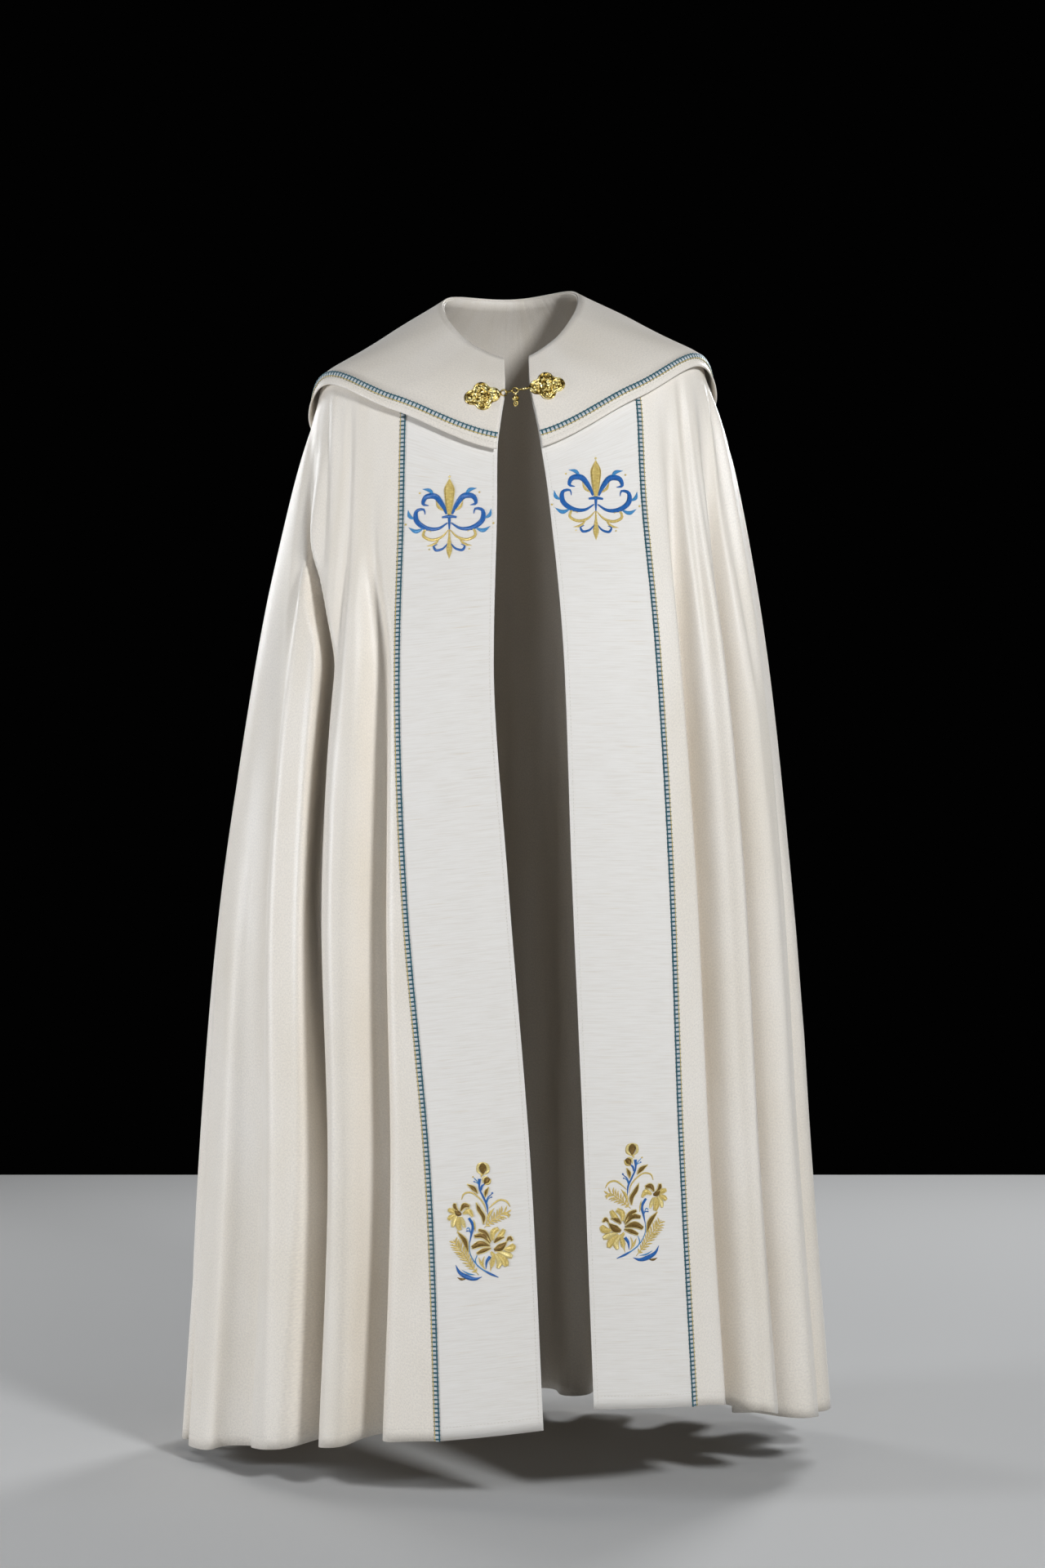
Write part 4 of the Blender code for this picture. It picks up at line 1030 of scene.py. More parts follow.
# %% [markdown]
# ## Embroidery
# Each leaf, petal and stem is one satin-stitched shape: a curve with a width that swells and tapers,
# padded so that it stands up like a small cushion. The shape is drawn flat, in millimetres, and then
# carried onto the band, so the padding follows the cloth.
# The flowers are drawn freely after an ordinary garden spray. The scroll above them is a plain lily.

# %% Shapes on a band
STITCH_SIDES = 8
STITCH_STEPS = 22


def on_band(side, x, z):
    """Points and normals of a band's outer face at X and Z: a guess, moved four times by what it misses."""
    across = np.full(np.shape(x), 0.5)
    level = np.interp(-z, [0.3, 0.5, 0.75, 1.08, 1.40], [4.0, 5.1, 6.0, 7.0, 7.9])

    def point(a, v):
        return cloth_point(a if side == "left" else 3 - a, v)

    for step in range(4):
        here = point(across, level)
        wide = (point(across + 0.01, level)[..., 0] - here[..., 0]) / 0.01
        tall = (point(across, level + 0.01)[..., 2] - here[..., 2]) / 0.01
        across = across + (x - here[..., 0]) / wide
        level = level + (z - here[..., 2]) / tall
    return face_of(cloth_point, across if side == "left" else 3 - across, level, CLOTH_WALL / 2)


def swept_curve(knots, widths, steps=STITCH_STEPS):
    """Smooth curve through the knots, with a width and a sideways direction at every step."""
    knots = np.asarray(knots, float)
    chord = lengths_along(knots, 0)
    at = np.linspace(0, chord[-1], steps)
    curve = through(chord, knots, at)
    width = np.clip(through(chord, np.asarray(widths, float), at), 0.12, None)
    along = unit(np.gradient(curve, axis=0))
    return curve, width, np.stack([-along[:, 1], along[:, 0]], axis=-1)


def satin_shape(curve, width, sideways, height, base=0.0):
    """Padded stitch in the flat: rings of a flattened oval along the curve, closed at both ends.

    Gives places in millimetres, the height above the cloth, faces and a UV place in metres.
    """
    turn = np.arange(STITCH_SIDES) * 2 * np.pi / STITCH_SIDES
    across = np.cos(turn)
    up = np.where(np.sin(turn) > 0.01, np.abs(np.sin(turn)) ** 0.8, -0.12)
    full = np.clip(width / max(width.max(), 0.8), 0.25, 1) ** 0.6
    flat = curve[:, None, :] + sideways[:, None, :] * (width[:, None] * across[None, :])[..., None]
    lift = base + height * full[:, None] * up[None, :]
    places = np.concatenate([flat.reshape(-1, 2), curve[:1], curve[-1:]])
    lifts = np.concatenate([lift.ravel(), [base, base]])
    length = np.repeat(lengths_along(curve, 0), STITCH_SIDES)
    uv = np.stack([length, (width[:, None] * across[None, :]).ravel()], axis=-1) * MM
    faces = capped(len(curve), STITCH_SIDES, len(places))
    return places, lifts, faces, np.concatenate([uv, uv[:1], uv[-1:]])


def edged(curve, width, sideways):
    """The line round a shape's edge, out along one side and back along the other."""
    return np.concatenate([curve + sideways * width[:, None], (curve - sideways * width[:, None])[::-1]])


def stitch(shapes, side, centre, flip, size):
    """Turns rows of shapes into one mesh for each thread, on a band, mirrored where flip is -1.

    The shapes take nine starting heights in turn, so those that cross seldom lie in one plane.
    A row that names two threads is filled with the first and edged with the second.
    """
    threads_used = {}
    for order, (thread, knots, widths) in enumerate(shapes):
        base = 0.02 + 0.012 * (order % 9)
        curve, width, sideways = swept_curve(np.multiply(knots, size), np.multiply(widths, size[0]))
        height = 0.55 + 0.22 * min(width.max(), 4.0)
        parts = [(thread.split("+")[0], satin_shape(curve, width, sideways, height, base))]
        if "+" in thread:
            line = edged(curve, width, sideways)
            line = through(np.linspace(0, 1, len(line)), line, np.linspace(0, 1, 44))
            rim_side = unit(np.gradient(line, axis=0))[:, ::-1] * [-1, 1]
            rim = satin_shape(line, np.full(len(line), 0.55), rim_side, 0.85, base + 0.30)
            parts.append((thread.split("+")[1], rim))
        for colour, part in parts:
            threads_used.setdefault(colour, []).append(part)
    made = {}
    for colour, parts in threads_used.items():
        flat = [(np.column_stack([places, lifts]), faces, uv) for places, lifts, faces, uv in parts]
        points, faces, uv = join_parts(flat)
        x = centre[0] + flip * points[:, 0] * MM
        z = centre[1] + points[:, 1] * MM
        surface, normals = on_band(side, x, z)
        if flip < 0:
            faces = turned_over(faces)
        made[colour] = (surface + normals * points[:, 2:3] * MM, faces, uv)
    return made


def feather(thread, rib, first, last, count, reach, slant):
    """A feathered leaf: a rib with leaflets that lean forwards on both sides, longest in the middle."""
    shapes = [(thread, rib, [0.5] + [0.8] * (len(rib) - 2) + [0.3])]
    curve, width, sideways = swept_curve(rib, [1] * len(rib), 60)
    forward = np.stack([sideways[:, 1], -sideways[:, 0]], axis=-1)
    for share in np.linspace(first, last, count):
        at = int(share * 59)
        long = reach * (0.45 + 0.55 * np.sin(np.pi * (share - first) / (last - first + 0.12)))
        for hand in (-1, 1):
            lean = forward[at] * slant + sideways[at] * hand
            root = curve[at]
            tip = root + lean * long
            middle = root + lean * long * 0.5 + forward[at] * long * 0.12
            shapes.append((thread, [root, middle, tip], [0.3, 1.15, 0.2]))
    return shapes


def dot(thread, x, z, size):
    """A small round knot of thread."""
    return (thread, [(x - size, z), (x, z), (x + size, z)], [0.2, size, 0.2])


def both(shapes):
    """The shapes and their mirror images."""
    mirrored = [(thread, [(-x, z) for x, z in knots], widths) for thread, knots, widths in shapes]
    return shapes + mirrored


# %% [markdown]
# ### The lily scroll
# Each row is a thread, the points that a shape's middle line runs through, and its half width at each
# point, in millimetres from the motif's middle. Its side shapes are drawn once and mirrored.

# %% The lily scroll
LILY = [
    ("gold+pale", [(0, 5), (0, 20), (0, 36), (0, 50)], [1.4, 4.0, 5.6, 0.2]),
    ("gold", [(0, -10), (0, -24), (0, -38), (0, -50)], [0.6, 1.4, 3.4, 0.2]),
    ("royal", [(-8, 2), (0, 3), (8, 2)], [1.2, 1.9, 1.2]),
    ("royal", [(0, 2), (0, -6), (0, -14)], [1.8, 1.3, 0.7]),
    dot("pale", 0, 53.0, 1.5),
] + both([
    ("royal", [(3, 6), (8, 18), (17, 29), (27, 27), (29, 19), (23, 17)], [1.2, 2.6, 3.4, 2.8, 1.8, 0.4]),
    ("sky", [(17, 29), (22, 36), (30, 38)], [0.4, 2.2, 0.2]),
    ("gold", [(4, 9), (12, 15), (15, 23)], [0.3, 1.5, 0.2]),
    ("royal", [(2, -5), (12, -12), (26, -11), (37, 0), (36, 11), (28, 12), (27, 6)],
     [0.8, 1.7, 2.7, 3.0, 2.0, 1.2, 0.4]),
    ("sky", [(28, -11), (37, -15), (45, -10)], [0.4, 2.4, 0.2]),
    ("sky", [(38, 0), (44, 4), (46, 12)], [0.4, 2.1, 0.2]),
    ("gold", [(1, -14), (9, -23), (21, -26), (29, -20), (26, -13), (20, -16)],
     [0.5, 1.3, 1.7, 1.6, 1.1, 0.3]),
    ("gold", [(10, -23), (17, -32), (25, -34)], [0.3, 1.5, 0.2]),
    ("royal", [(1, -30), (8, -38), (15, -39), (17, -34), (13, -32)], [0.5, 1.3, 1.5, 1.0, 0.3]),
    dot("gold", 48.5, -6, 1.3),
    dot("gold", 33, 33, 1.2),
    dot("pale", 22, -38, 1.1),
])

# %% [markdown]
# ### The flower spray
# A stem with buds, two open flowers and feathered leaves, in the same kind of rows.
# Most petals, the dark ones and the light ones, have an edge of pale gold.

# %% The flower spray
SPRAY = [
    ("royal", [(7, 9), (6, 20), (1, 31), (-3, 40), (-3, 52)], [0.3, 1.2, 1.2, 1.1, 2.0]),
    ("royal", [(-1, 38), (0, 43), (3, 46)], [1.0, 1.5, 0.6]),
    ("sky", [(-3, 45), (-7, 50), (-10, 53)], [0.5, 0.6, 0.4]),
    ("sky", [(-3, 44), (-6, 47), (-9, 48)], [0.5, 0.6, 0.4]),
    dot("gold", -11, 54, 1.2), dot("royal", -9.5, 48.5, 1.0),
    ("royal", [(5, 22), (7, 29), (12, 34)], [0.8, 0.8, 0.5]),
    ("sky", [(6, 23), (8, 28), (11, 30)], [0.5, 0.6, 0.4]),
    dot("royal", 12.5, 35, 1.4), dot("royal", 11.5, 30, 1.1),
    ("umber", [(1, 58), (1, 65), (1, 71)], [1.0, 4.6, 2.0]),
    ("pale", [(0, 57), (-5, 62), (-4, 69), (1, 72)], [0.6, 1.9, 1.8, 0.5]),
    ("pale", [(2, 57), (7, 62), (6, 69), (1, 72)], [0.6, 2.3, 1.9, 0.5]),
    ("pale", [(-1, 61), (2, 64), (3, 69)], [0.4, 1.4, 0.3]),
    ("gold", [(-1, 54), (0, 57), (2, 58)], [0.5, 1.5, 0.4]),
    ("umber", [(3, 46), (6, 50), (9, 53)], [1.0, 4.0, 1.6]),
    ("pale", [(1, 47), (2, 53), (7, 55)], [0.5, 1.6, 0.6]),
    ("gold", [(3, 45), (8, 47), (11, 52)], [0.5, 1.9, 0.5]),
    ("umber+pale", [(-5, 34), (-10, 40), (-18, 45)], [0.4, 2.7, 0.2]),
    ("umber+gold", [(4, 30), (5, 36), (8, 42)], [0.4, 2.0, 0.2]),
    ("gold", [(5, 12), (2, 22), (-5, 30), (-14, 35), (-22, 33), (-25, 26)], [0.3, 0.9, 1.0, 1.1, 1.1, 0.4]),
    ("gold", [(8, 16), (14, 22), (22, 27), (30, 25), (34, 19)], [0.4, 1.0, 1.2, 1.2, 0.5]),
    ("umber+pale", [(2, -3), (2, 6), (-3, 14), (-7, 23)], [0.4, 2.5, 2.5, 0.2]),
    ("gold", [(6, -1), (9, 9), (15, 17)], [0.4, 2.0, 0.2]),
    ("gold", [(-8, -12), (-9, -5), (-10, 2)], [0.3, 1.2, 0.2]),
    ("umber+pale", [(-29, 12), (-33, 17), (-33, 21)], [0.8, 2.3, 1.6]),
    ("umber+pale", [(-26, 12), (-21, 19), (-15, 18)], [0.8, 3.1, 1.6]),
    ("gold+pale", [(-23, 9), (-16, 12), (-11, 6)], [0.8, 3.1, 1.0]),
    ("gold+pale", [(-32, 9), (-37, 12), (-41, 13)], [1.0, 2.8, 1.6]),
    ("gold+pale", [(-32, 7), (-38, 4), (-41, 1)], [1.0, 2.6, 1.6]),
    ("pale", [(-30, 6), (-35, -2), (-36, -8)], [1.0, 3.0, 1.8]),
    ("gold+pale", [(-27, 5), (-29, -4), (-27, -11)], [1.0, 3.4, 2.0]),
    ("pale", [(-25, 5), (-23, -2), (-21, -8)], [0.8, 2.7, 1.4]),
    ("umber", [(-33, 13), (-29, 9), (-25, 8)], [1.8, 3.3, 1.4]),
    ("royal", [(-16, 4), (-11, -5), (-13, -16), (-15, -26)], [1.5, 1.9, 1.3, 0.4]),
    ("sky", [(-15, -24), (-15, -37), (-10, -48), (-1, -57), (8, -62)], [0.4, 0.5, 0.6, 0.8, 0.8]),
    ("sky", [(-13, -15), (-17, -8), (-19, -10)], [0.5, 0.7, 0.4]),
    ("royal", [(-13, -18), (-15, -12), (-19, -12)], [0.5, 0.7, 0.9]),
    ("royal", [(2, -59), (10, -63), (20, -67)], [0.9, 1.5, 0.5]),
    ("sky", [(-6, -41), (-8, -48), (-5, -55)], [0.4, 0.7, 0.5]),
    ("royal", [(10, -42), (6, -48), (5, -57)], [2.0, 1.7, 0.3]),
    ("umber+pale", [(11, -24), (3, -13), (-4, -10)], [0.8, 2.7, 1.5]),
    ("umber+pale", [(10, -26), (1, -17), (-9, -18)], [0.8, 3.1, 1.9]),
    ("umber+pale", [(10, -29), (-2, -27), (-12, -32)], [0.8, 3.8, 2.0]),
    ("umber+pale", [(11, -32), (2, -35), (-6, -39)], [0.8, 2.6, 1.4]),
    ("gold+pale", [(13, -22), (14, -12), (20, -8)], [0.8, 3.3, 2.2]),
    ("gold+pale", [(17, -21), (24, -14), (27, -9)], [1.0, 3.0, 2.0]),
    ("umber+pale", [(30, -23), (34, -19), (37, -22)], [0.6, 2.4, 1.2]),
    ("gold+pale", [(27, -33), (36, -31), (39, -27)], [1.0, 4.0, 2.4]),
    ("pale", [(20, -36), (32, -40), (37, -42)], [1.0, 4.2, 2.4]),
    ("gold+pale", [(18, -38), (28, -48), (30, -53)], [1.0, 4.0, 2.2]),
    ("pale", [(16, -39), (21, -50), (19, -56)], [1.0, 3.8, 2.2]),
    ("gold+pale", [(15, -38), (13, -48), (12, -54)], [0.8, 2.6, 1.2]),
    ("umber+pale", [(15, -25), (20, -20), (27, -18)], [1.0, 2.8, 0.8]),
    ("umber+pale", [(15, -34), (22, -31), (30, -24)], [1.6, 4.4, 0.8]),
    ("gold", [(11, -36), (13, -39), (15, -40)], [1.2, 2.3, 0.8]),
    ("gold", [(-4, -44), (-1, -51), (4, -58)], [0.4, 1.6, 0.3]),
    ("gold", [(3, -42), (1, -48), (2, -54)], [0.4, 1.1, 0.3]),
    ("gold", [(10, -60), (11, -54), (9, -49)], [0.3, 1.1, 0.3]),
    ("umber+gold", [(-17, -37), (-21, -24), (-30, -13)], [0.5, 2.8, 0.2]),
    ("royal", [(-32, -54), (-28, -62), (-18, -68), (-8, -70), (0, -67)], [0.2, 1.9, 3.0, 2.0, 0.2]),
    ("sky", [(-24, -60), (-16, -64), (-8, -65)], [0.2, 1.0, 0.2]),
    ("umber", [(-30, -69), (-25, -71), (-19, -70)], [0.2, 1.5, 0.2]),
]
SPRAY = SPRAY + feather("gold", [(3, -7), (12, 1), (20, 7), (28, 12), (35, 9)], 0.1, 0.86, 9, 8.0, 0.9)
SPRAY = SPRAY + feather("gold", [(-4, -65), (-14, -53), (-22, -41), (-30, -31), (-35, -23)],
                        0.1, 0.9, 12, 8.5, 1.0)

# %% [markdown]
# Both bands carry a scroll at the chest and a spray near the hem, the right spray as a mirror image.

# %% Stitch them on the bands
# side, shapes, middle of the motif in X and Z, 1 or -1 for its mirror image, and its size across and down
MOTIFS = [
    ("left", LILY, (-0.0775, -0.2905), 1, (1.12, 1.0)),
    ("right", LILY, (0.1030, -0.2675), 1, (1.12, 1.0)),
    ("left", SPRAY, (-0.0365, -1.1490), 1, (1.0, 1.0)),
    ("right", SPRAY, (0.1470, -1.1270), -1, (1.0, 1.0)),
]
stitched = {}
for side, shapes, centre, flip, size in MOTIFS:
    for colour, part in stitch(shapes, side, centre, flip, size).items():
        stitched.setdefault((side, colour), []).append(part)
for (side, colour), parts in stitched.items():
    slot_name = "gold" if colour in ("gold", "pale", "umber") else "braid"
    made = add_piece(f"embroidery_{colour}_{side}", *join_parts(parts), THREADS[colour], slot_name)
    print(made.name, len(made.data.polygons), "faces")

# %% [markdown]
# ## The clasp
# Two cast plaques lie on the collar's front corners, joined by rings, a small bar and a hanging charm.
# A plaque is a disc of rings and spokes whose height comes from a formula: a dome, a beaded rim,
# bosses cut into petals, and scrolls that wind round each boss.

# %% The plaques
PLAQUES = {"plaque_left": (-0.0376, -0.1366), "plaque_right": (0.0427, -0.1231)}
PLAQUE_HALF_WIDTH = 22.5 * MM
PLAQUE_HALF_HEIGHT = 20.0 * MM
PLAQUE_BACK = 1.2 * MM
PLAQUE_TURN = np.radians(9.0)
LOBE_RADIUS = 0.47
DISC_RADIUS = 0.70
PLAQUE_RINGS = 56
PLAQUE_SPOKES = 256


def plaque_outline(turn):
    """Distance from a plaque's centre to its edge: the farthest of four round lobes and a middle disc."""
    reach = np.full_like(turn, DISC_RADIUS * PLAQUE_HALF_WIDTH)
    for quarter in range(4):
        half = PLAQUE_HALF_WIDTH if quarter % 2 == 0 else PLAQUE_HALF_HEIGHT
        radius = LOBE_RADIUS * half
        away = half - radius
        facing = away * np.cos(turn - quarter * np.pi / 2)
        inside = radius ** 2 - away ** 2 + facing ** 2
        far = facing + np.sqrt(np.clip(inside, 0, None))
        reach = np.where(inside > 0, np.maximum(reach, far), reach)
    return reach


def rosette(x, y, middle, radius, petals, winding):
    """A boss cut into petals, in a groove, with scrolls winding round it out to twice its radius."""
    dx, dy = x - middle[0], y - middle[1]
    away = np.hypot(dx, dy) / radius
    turn = np.arctan2(dy, dx)
    boss = 1.0 * np.exp(-(away / 0.38) ** 4)
    petal = (0.70 + 0.80 * np.cos(petals * turn)) * np.exp(-((away - 0.80) / 0.32) ** 4)
    groove = -1.0 * np.exp(-((away - 1.18) / 0.14) ** 2)
    scroll = 0.80 * np.cos(winding * turn + 5.6 * away) * np.exp(-((away - 1.60) / 0.48) ** 4)
    return boss + petal + groove + scroll


def plaque_relief(x, y, share, turn):
    """Height of a plaque's face in metres: dome, beaded rim, channel, middle rosette and lobe rosettes."""
    height = 1.0 * (1 - share ** 2)
    height = height + (0.75 + 0.22 * np.cos(72 * turn)) * np.exp(-((share - 0.94) / 0.04) ** 2)
    height = height - 0.45 * np.exp(-((share - 0.83) / 0.035) ** 2)
    height = height + 1.25 * rosette(x, y, (0.0, 0.0), 5.6 * MM, 5, 4)
    for quarter in range(4):
        half = PLAQUE_HALF_WIDTH if quarter % 2 == 0 else PLAQUE_HALF_HEIGHT
        middle = 0.6 * half * np.array([np.cos(quarter * np.pi / 2), np.sin(quarter * np.pi / 2)])
        height = height + 0.8 * rosette(x, y, middle, 3.7 * MM, 4, 3)
    return MM * np.clip(height, -0.8, None)


def plaque_seat(at):
    """Place and directions (side, up, out) of a plaque at an X and Z on the collar's outer face."""
    across, level = np.meshgrid(np.linspace(0, 1, 801), np.linspace(0.5, 2.9, 121))
    points = collar_point(across, level)
    miss = np.hypot(points[..., 0] - at[0], points[..., 2] - at[1]) + 10 * (points[..., 1] > 0)
    best = np.unravel_index(np.argmin(miss), miss.shape)
    out = normals_of(collar_point, across[best], level[best])
    side = unit(np.cross([0.0, 0.0, 1.0], out))
    up = np.cross(out, side)
    turned = np.cos(PLAQUE_TURN) * side + np.sin(PLAQUE_TURN) * up
    return points[best] + out * (COLLAR_WALL / 2 + 0.1 * MM), np.stack([turned, np.cross(out, turned), out])


def plaque_shape(seat, axes):
    """Points, faces and UV places of one plaque: rings of its face, its side and its flat back."""
    share = np.linspace(0, 1, PLAQUE_RINGS + 1)[1:, None]
    turn = np.arange(PLAQUE_SPOKES) * 2 * np.pi / PLAQUE_SPOKES
    x = share * plaque_outline(turn) * np.cos(turn)
    y = share * plaque_outline(turn) * np.sin(turn)
    z = PLAQUE_BACK + plaque_relief(x, y, share, turn)
    face = np.stack([x, y, z], axis=-1)
    foot = face[-1:] * [1, 1, 0]
    middle = [[0, 0, PLAQUE_BACK + plaque_relief(np.zeros(1), np.zeros(1), 0.0, 0.0)[0]], [0, 0, 0]]
    local = np.concatenate([face.reshape(-1, 3), foot.reshape(-1, 3), middle])
    faces = turned_over(capped(PLAQUE_RINGS + 1, PLAQUE_SPOKES, len(local)))
    return seat + local @ axes, faces, local[:, :2]


seats = {name: plaque_seat(at) for name, at in PLAQUES.items()}
for name, (seat, axes) in seats.items():
    made = add_piece(name + "_cast", *plaque_shape(seat, axes), gilt, "gold")
    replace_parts(made, name)
    print(name, len(made.data.polygons), "faces")

# %% [markdown]
# ### The chain
# A ring hangs on the left plaque and a beaded bar on the right one. Two smaller links join them, and the
# round one carries a ribbed ball with a curl under it. Each loop is a circle of wire carried round an oval.

# %% The chain between them
WIRE = 0.85 * MM
RING_RADIUS = 3.75 * MM
LINK_RADIUS = 3.4 * MM
LINK_FROM_PLAQUE = 18.8 * MM
JOINER_HALF_WIDTH = 2.6 * MM
HOOK_HALF_WIDTH = 1.8 * MM
HOOK_OVERLAP = 1.5 * MM
EYE_HALF_LENGTH = 1.9 * MM
EYE_HALF_WIDTH = 1.8 * MM
BAR_LENGTH = 10.5 * MM
CHARM_BALL = 4.3 * MM


def loop(middle, first, second, half_first, half_second, radius=WIRE, around=64, sides=14):
    """Oval ring of round wire: circles of wire set round an oval in the plane of two directions."""
    turn = np.arange(around) * 2 * np.pi / around
    phase = np.arange(sides) * 2 * np.pi / sides
    ahead = np.cos(turn)[:, None] * first
    aside = np.sin(turn)[:, None] * second
    centre = middle + half_first * ahead + half_second * aside
    out = unit(half_second * ahead + half_first * aside)
    square = np.cross(first, second)
    points = centre[:, None] + radius * (np.cos(phase)[None, :, None] * out[:, None]
                                         + np.sin(phase)[None, :, None] * square)
    uv = np.stack(np.meshgrid(turn * half_first, phase * radius, indexing="ij"), axis=-1).reshape(-1, 2)
    quads = grid_faces(around, sides, closed_rows=True, closed_columns=True)
    return points.reshape(-1, 3), turned_over([quads]), uv


def turned(top, axis, along, radius, ribs=0, rib_depth=0.0, sides=48):
    """Solid of revolution: radii at distances down an axis, cut into ribs; its ends close to points."""
    across = unit(np.cross(axis, [0.0, 1.0, 0.0]))
    other = np.cross(axis, across)
    path = top + np.asarray(along)[:, None] * axis
    turn = np.arange(sides) * 2 * np.pi / sides
    cut = 1 - rib_depth * (1 - np.cos(ribs * turn)) / 2
    ring = cut[None, :, None] * np.asarray(radius)[:, None, None] * (
        np.cos(turn)[:, None] * across + np.sin(turn)[:, None] * other)
    points = np.concatenate([(path[:, None] + ring).reshape(-1, 3), path[:1], path[-1:]])
    return points, capped(len(path), sides, len(points)), points[:, :2]


def chain_piece(node, parts):
    """Gilt piece of the chain in place of its plain solid."""
    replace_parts(add_piece(node + "_gilt", *join_parts(parts), gilt, "gold"), node)


start = seats["plaque_left"][0] + np.array([PLAQUE_HALF_WIDTH, 0, PLAQUE_BACK]) @ seats["plaque_left"][1]
end = seats["plaque_right"][0] + np.array([-PLAQUE_HALF_WIDTH, 0, PLAQUE_BACK]) @ seats["plaque_right"][1]
span = np.linalg.norm(end - start)
along = (end - start) / span
depth = unit(np.array([0.0, 1.0, 0.0]) - along * along[1])
up = np.cross(along, depth)
up = up * np.sign(up[2])
# Two linked loops overlap by this much, measured between the middles of their wires
clear = 1.3 * MM

ring_at = 0.7 * MM + RING_RADIUS
link_at = LINK_FROM_PLAQUE
joiner = np.array([ring_at + RING_RADIUS - clear, link_at - LINK_RADIUS + clear])
chain_piece("clasp_ring", [loop(start + along * ring_at, along, up, RING_RADIUS, RING_RADIUS)])
chain_piece("clasp_link", [loop(start + along * link_at, along, up, LINK_RADIUS, LINK_RADIUS)])
chain_piece("clasp_joiner", [
    loop(start + along * joiner.mean(), along, depth, np.ptp(joiner) / 2, JOINER_HALF_WIDTH),
])

bar = span - 0.1 * MM - BAR_LENGTH
hook = np.array([link_at + LINK_RADIUS - clear, bar + HOOK_OVERLAP])
beads = np.linspace(0, 1, 41)
bead_radius = (0.9 + 1.0 * np.sin(np.pi * beads) ** 0.5 + 0.25 * np.cos(2 * np.pi * 4 * beads)) * MM
chain_piece("clasp_hook", [
    loop(start + along * hook.mean(), along, depth, np.ptp(hook) / 2, HOOK_HALF_WIDTH),
    turned(start + along * bar, along, beads * BAR_LENGTH, bead_radius, sides=24),
])

down = np.array([0.0, 0.0, -1.0])
low = start + along * link_at - up * LINK_RADIUS
ball_top = 2 * EYE_HALF_LENGTH - clear - 0.5 * MM
tilt = np.linspace(0.08, np.pi - 0.08, 33)
curl = low + down * (ball_top + 2 * CHARM_BALL + 2.4 * MM)
curl_bead = 1.15 * MM * np.cos(np.linspace(-1.4, 1.4, 13))
chain_piece("clasp_charm", [
    loop(low + down * (EYE_HALF_LENGTH - clear), down, depth, EYE_HALF_LENGTH, EYE_HALF_WIDTH),
    turned(low, down, ball_top + CHARM_BALL * (1 - np.cos(tilt)), CHARM_BALL * np.sin(tilt), 9, 0.14, 72),
    loop(curl, down, along, 2.9 * MM, 2.4 * MM, 0.85 * MM),
    turned(curl, down, np.linspace(-1.1, 1.1, 13) * MM, curl_bead, sides=24),
])
print("clasp:", round(1000 * span, 1), "mm between the plaques")

# %% [markdown]
# ## Stitches
# A hem is turned up and sewn with one row of small stitches, and the front edges and the collar's edge
# have a row of their own. Each stitch is a tiny cushion, placed by the hundred along a path on the cloth.

# %% Rows of stitches
STITCH_PITCH = 4.4 * MM
STITCH_SHAPE = (1.45 * MM, 0.36 * MM, 0.30 * MM)


def stitch_row(name, path, normals, slot_name):
    """Stitches at an even pitch along a path on a face of the cloth."""
    along, side, out = directions(path, normals)
    length = lengths_along(path, 0)
    at = np.arange(STITCH_PITCH / 2, length[-1], STITCH_PITCH)
    spots = read_along(at, length, path, along, side, out)
    made = add_piece(name, *copies(small_ball, STITCH_SHAPE, *spots), THREADS["cream"], slot_name)
    print(f"{name}: {length[-1]:.2f} m, {len(at)} stitches, {len(made.data.polygons)} faces")


def hem_line(start, end, inset, count=3000):
    """Points and normals along the hem between two values of u, this far above its edge."""
    u = np.linspace(start + 1e-4, end - 1e-4, count)
    bottom = 8 + 0 * u
    pace = np.linalg.norm(cloth_point(u, bottom) - cloth_point(u, bottom - 0.05), axis=-1) / 0.05
    u = evenly(u, cloth_point(u, bottom - inset / pace), 2.0 * MM)
    level = 8 - inset / np.interp(u, np.linspace(start, end, count), pace)
    return face_of(cloth_point, u, level, CLOTH_WALL / 2)


def front_line(side, inset):
    """Points and normals down a band's inner edge, this far in from it."""
    level = np.linspace(3.02, 7.97, 900)
    edge = 0 * level + (0 if side == "left" else 3)
    u = edge + along_surface(cloth_point, edge, level, inset if side == "left" else -inset)
    return face_of(cloth_point, u, level, CLOTH_WALL / 2)


HEM_INSET = 16.0 * MM
EDGE_INSET = 5.0 * MM
COLLAR_EDGE_INSET = 8.5 * MM
stitch_row("hem_stitches_body", *hem_line(1, 2, HEM_INSET), "cloth")
stitch_row("hem_stitches_left", *hem_line(0, 1, HEM_INSET), "band")
stitch_row("hem_stitches_right", *hem_line(2, 3, HEM_INSET), "band")
stitch_row("edge_stitches_left", *front_line("left", EDGE_INSET), "band")
stitch_row("edge_stitches_right", *front_line("right", EDGE_INSET), "band")
stitch_row("edge_stitches_collar", *collar_line(COLLAR_EDGE_INSET), "cloth")

# %% [markdown]
# ## Floor and light
# The floor is plain and pale, and the air behind is nearly black, as in the photo. The main light stands
# in front, to the right and above, so each fold shades the valley on its left.
# Weaker lights stand in front, at both sides and behind, and the floor throws some of it back up.

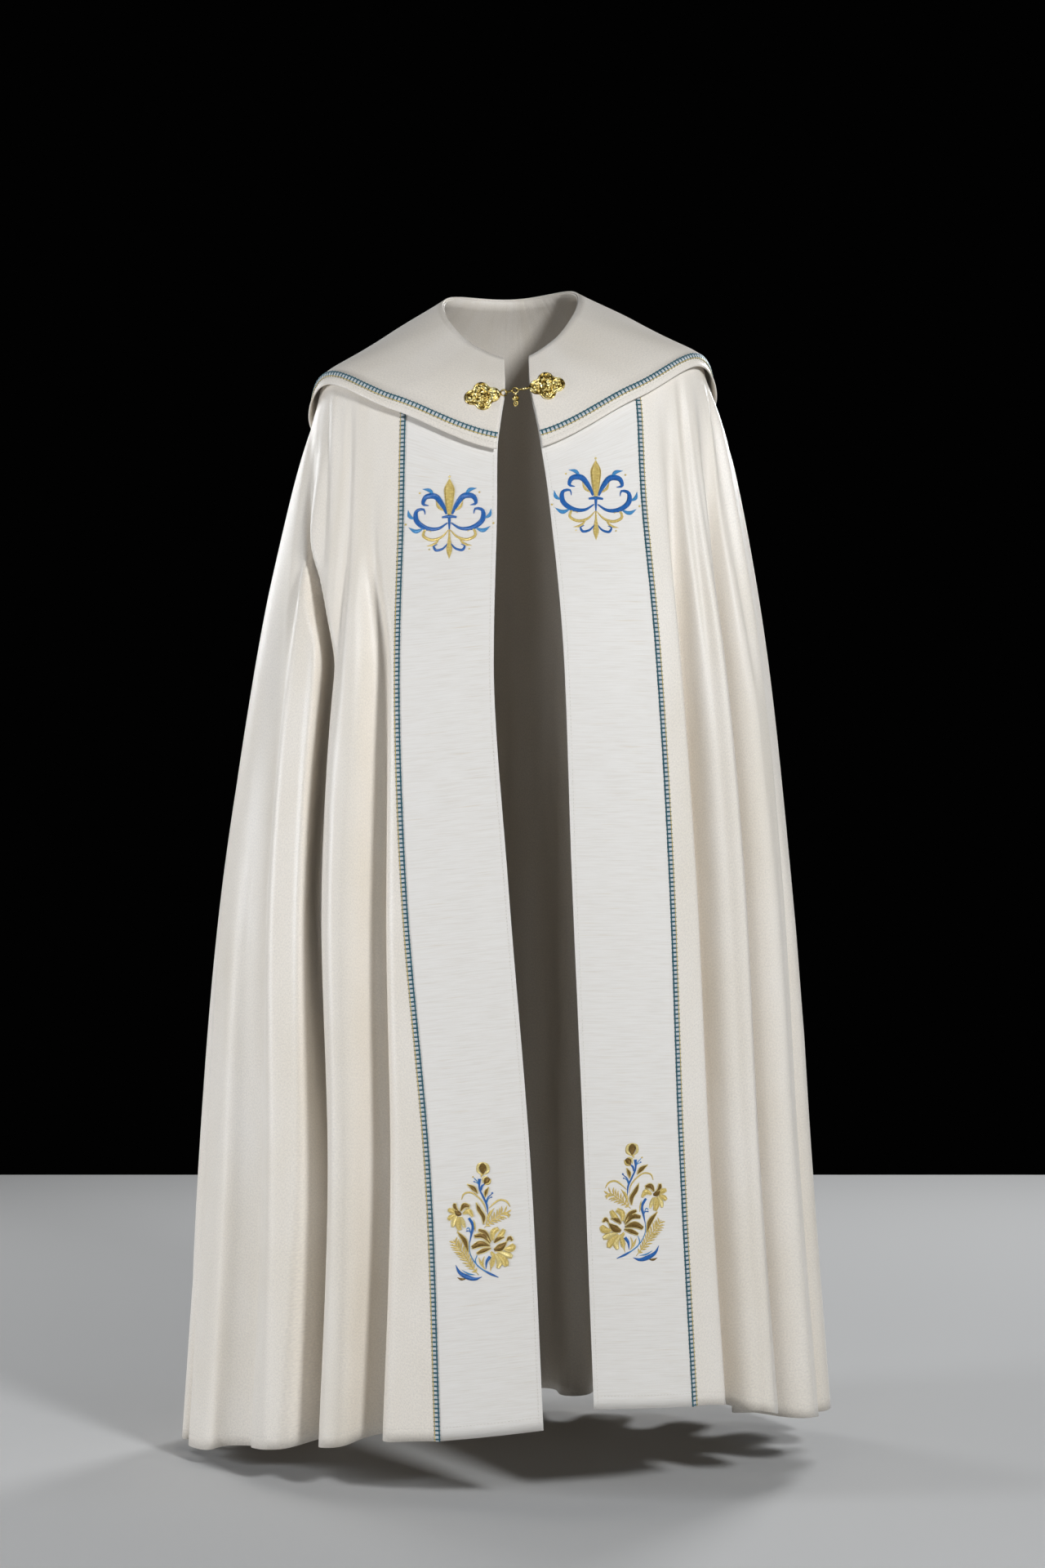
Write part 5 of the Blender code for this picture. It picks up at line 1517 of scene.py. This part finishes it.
# %% Floor
FLOOR_BELOW = 12 * MM
FLOOR_HALF = 3.0
lowest = min(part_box(name)[0].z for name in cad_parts)
corners = np.array([[-1, -1, 0], [1, -1, 0], [1, 1, 0], [-1, 1, 0]]) * FLOOR_HALF
corners[:, 2] = lowest - FLOOR_BELOW
floor_mesh = bpy.data.meshes.new("floor")
floor_mesh.from_pydata(corners.tolist(), [], [(0, 1, 2, 3)])
floor = bpy.data.objects.new("floor", floor_mesh)
bpy.context.scene.collection.objects.link(floor)
floor_look = new_look("pale_floor", 0.8, specular=0.2)
floor_look.node_tree.nodes["Principled BSDF"].inputs["Base Color"].default_value = (0.50, 0.495, 0.485, 1)
floor_mesh.materials.append(floor_look)

# %% [markdown]
# A lamp is a soft disc, turned so that it faces a point inside the garment.

# %% Lights
LIGHTS = named("name at aim size watts colour", [
    ("key", (1.9, -3.4, 1.2), (0.0, 0.0, -0.7), 0.7, 132, (0.94, 0.965, 1.0)),
    ("front", (-0.7, -3.9, -0.6), (0.0, 0.0, -0.7), 0.6, 12, (0.94, 0.965, 1.0)),
    ("left", (-3.1, -0.8, -0.5), (-0.1, 0.0, -0.8), 0.8, 56, (0.91, 0.945, 1.0)),
    ("right", (2.9, -0.6, 0.0), (0.1, 0.0, -0.8), 0.9, 8, (0.80, 0.89, 1.0)),
    ("back_right", (1.8, 3.0, 1.0), (0.0, 0.1, -0.7), 1.2, 80, (0.95, 0.97, 1.0)),
    ("back_left", (-2.2, 2.4, 0.4), (0.0, 0.1, -0.7), 1.2, 30, (0.95, 0.97, 1.0)),
])
for row in LIGHTS:
    lamp = bpy.data.lights.new(row["name"], "AREA")
    lamp.shape = "DISK"
    lamp.size = row["size"]
    lamp.energy = row["watts"]
    lamp.color = row["colour"]
    lamp_object = bpy.data.objects.new(row["name"], lamp)
    lamp_object.location = row["at"]
    towards = np.array(row["aim"]) - np.array(row["at"])
    flat = np.hypot(towards[0], towards[1])
    lamp_object.rotation_euler = (np.pi / 2 + np.arctan2(towards[2], flat), 0,
                                  np.arctan2(towards[1], towards[0]) - np.pi / 2)
    bpy.context.scene.collection.objects.link(lamp_object)

print(len(LIGHTS), "lights")

world = bpy.data.worlds.new("studio")
world.use_nodes = True
world.node_tree.nodes["Background"].inputs["Color"].default_value = (0.001, 0.001, 0.001, 1)
world.node_tree.nodes["Background"].inputs["Strength"].default_value = 0.6
bpy.context.scene.world = world
# The standard view shows the cream, the blue and the gold as they are set, with nothing toned down
bpy.context.scene.view_settings.view_transform = "Standard"
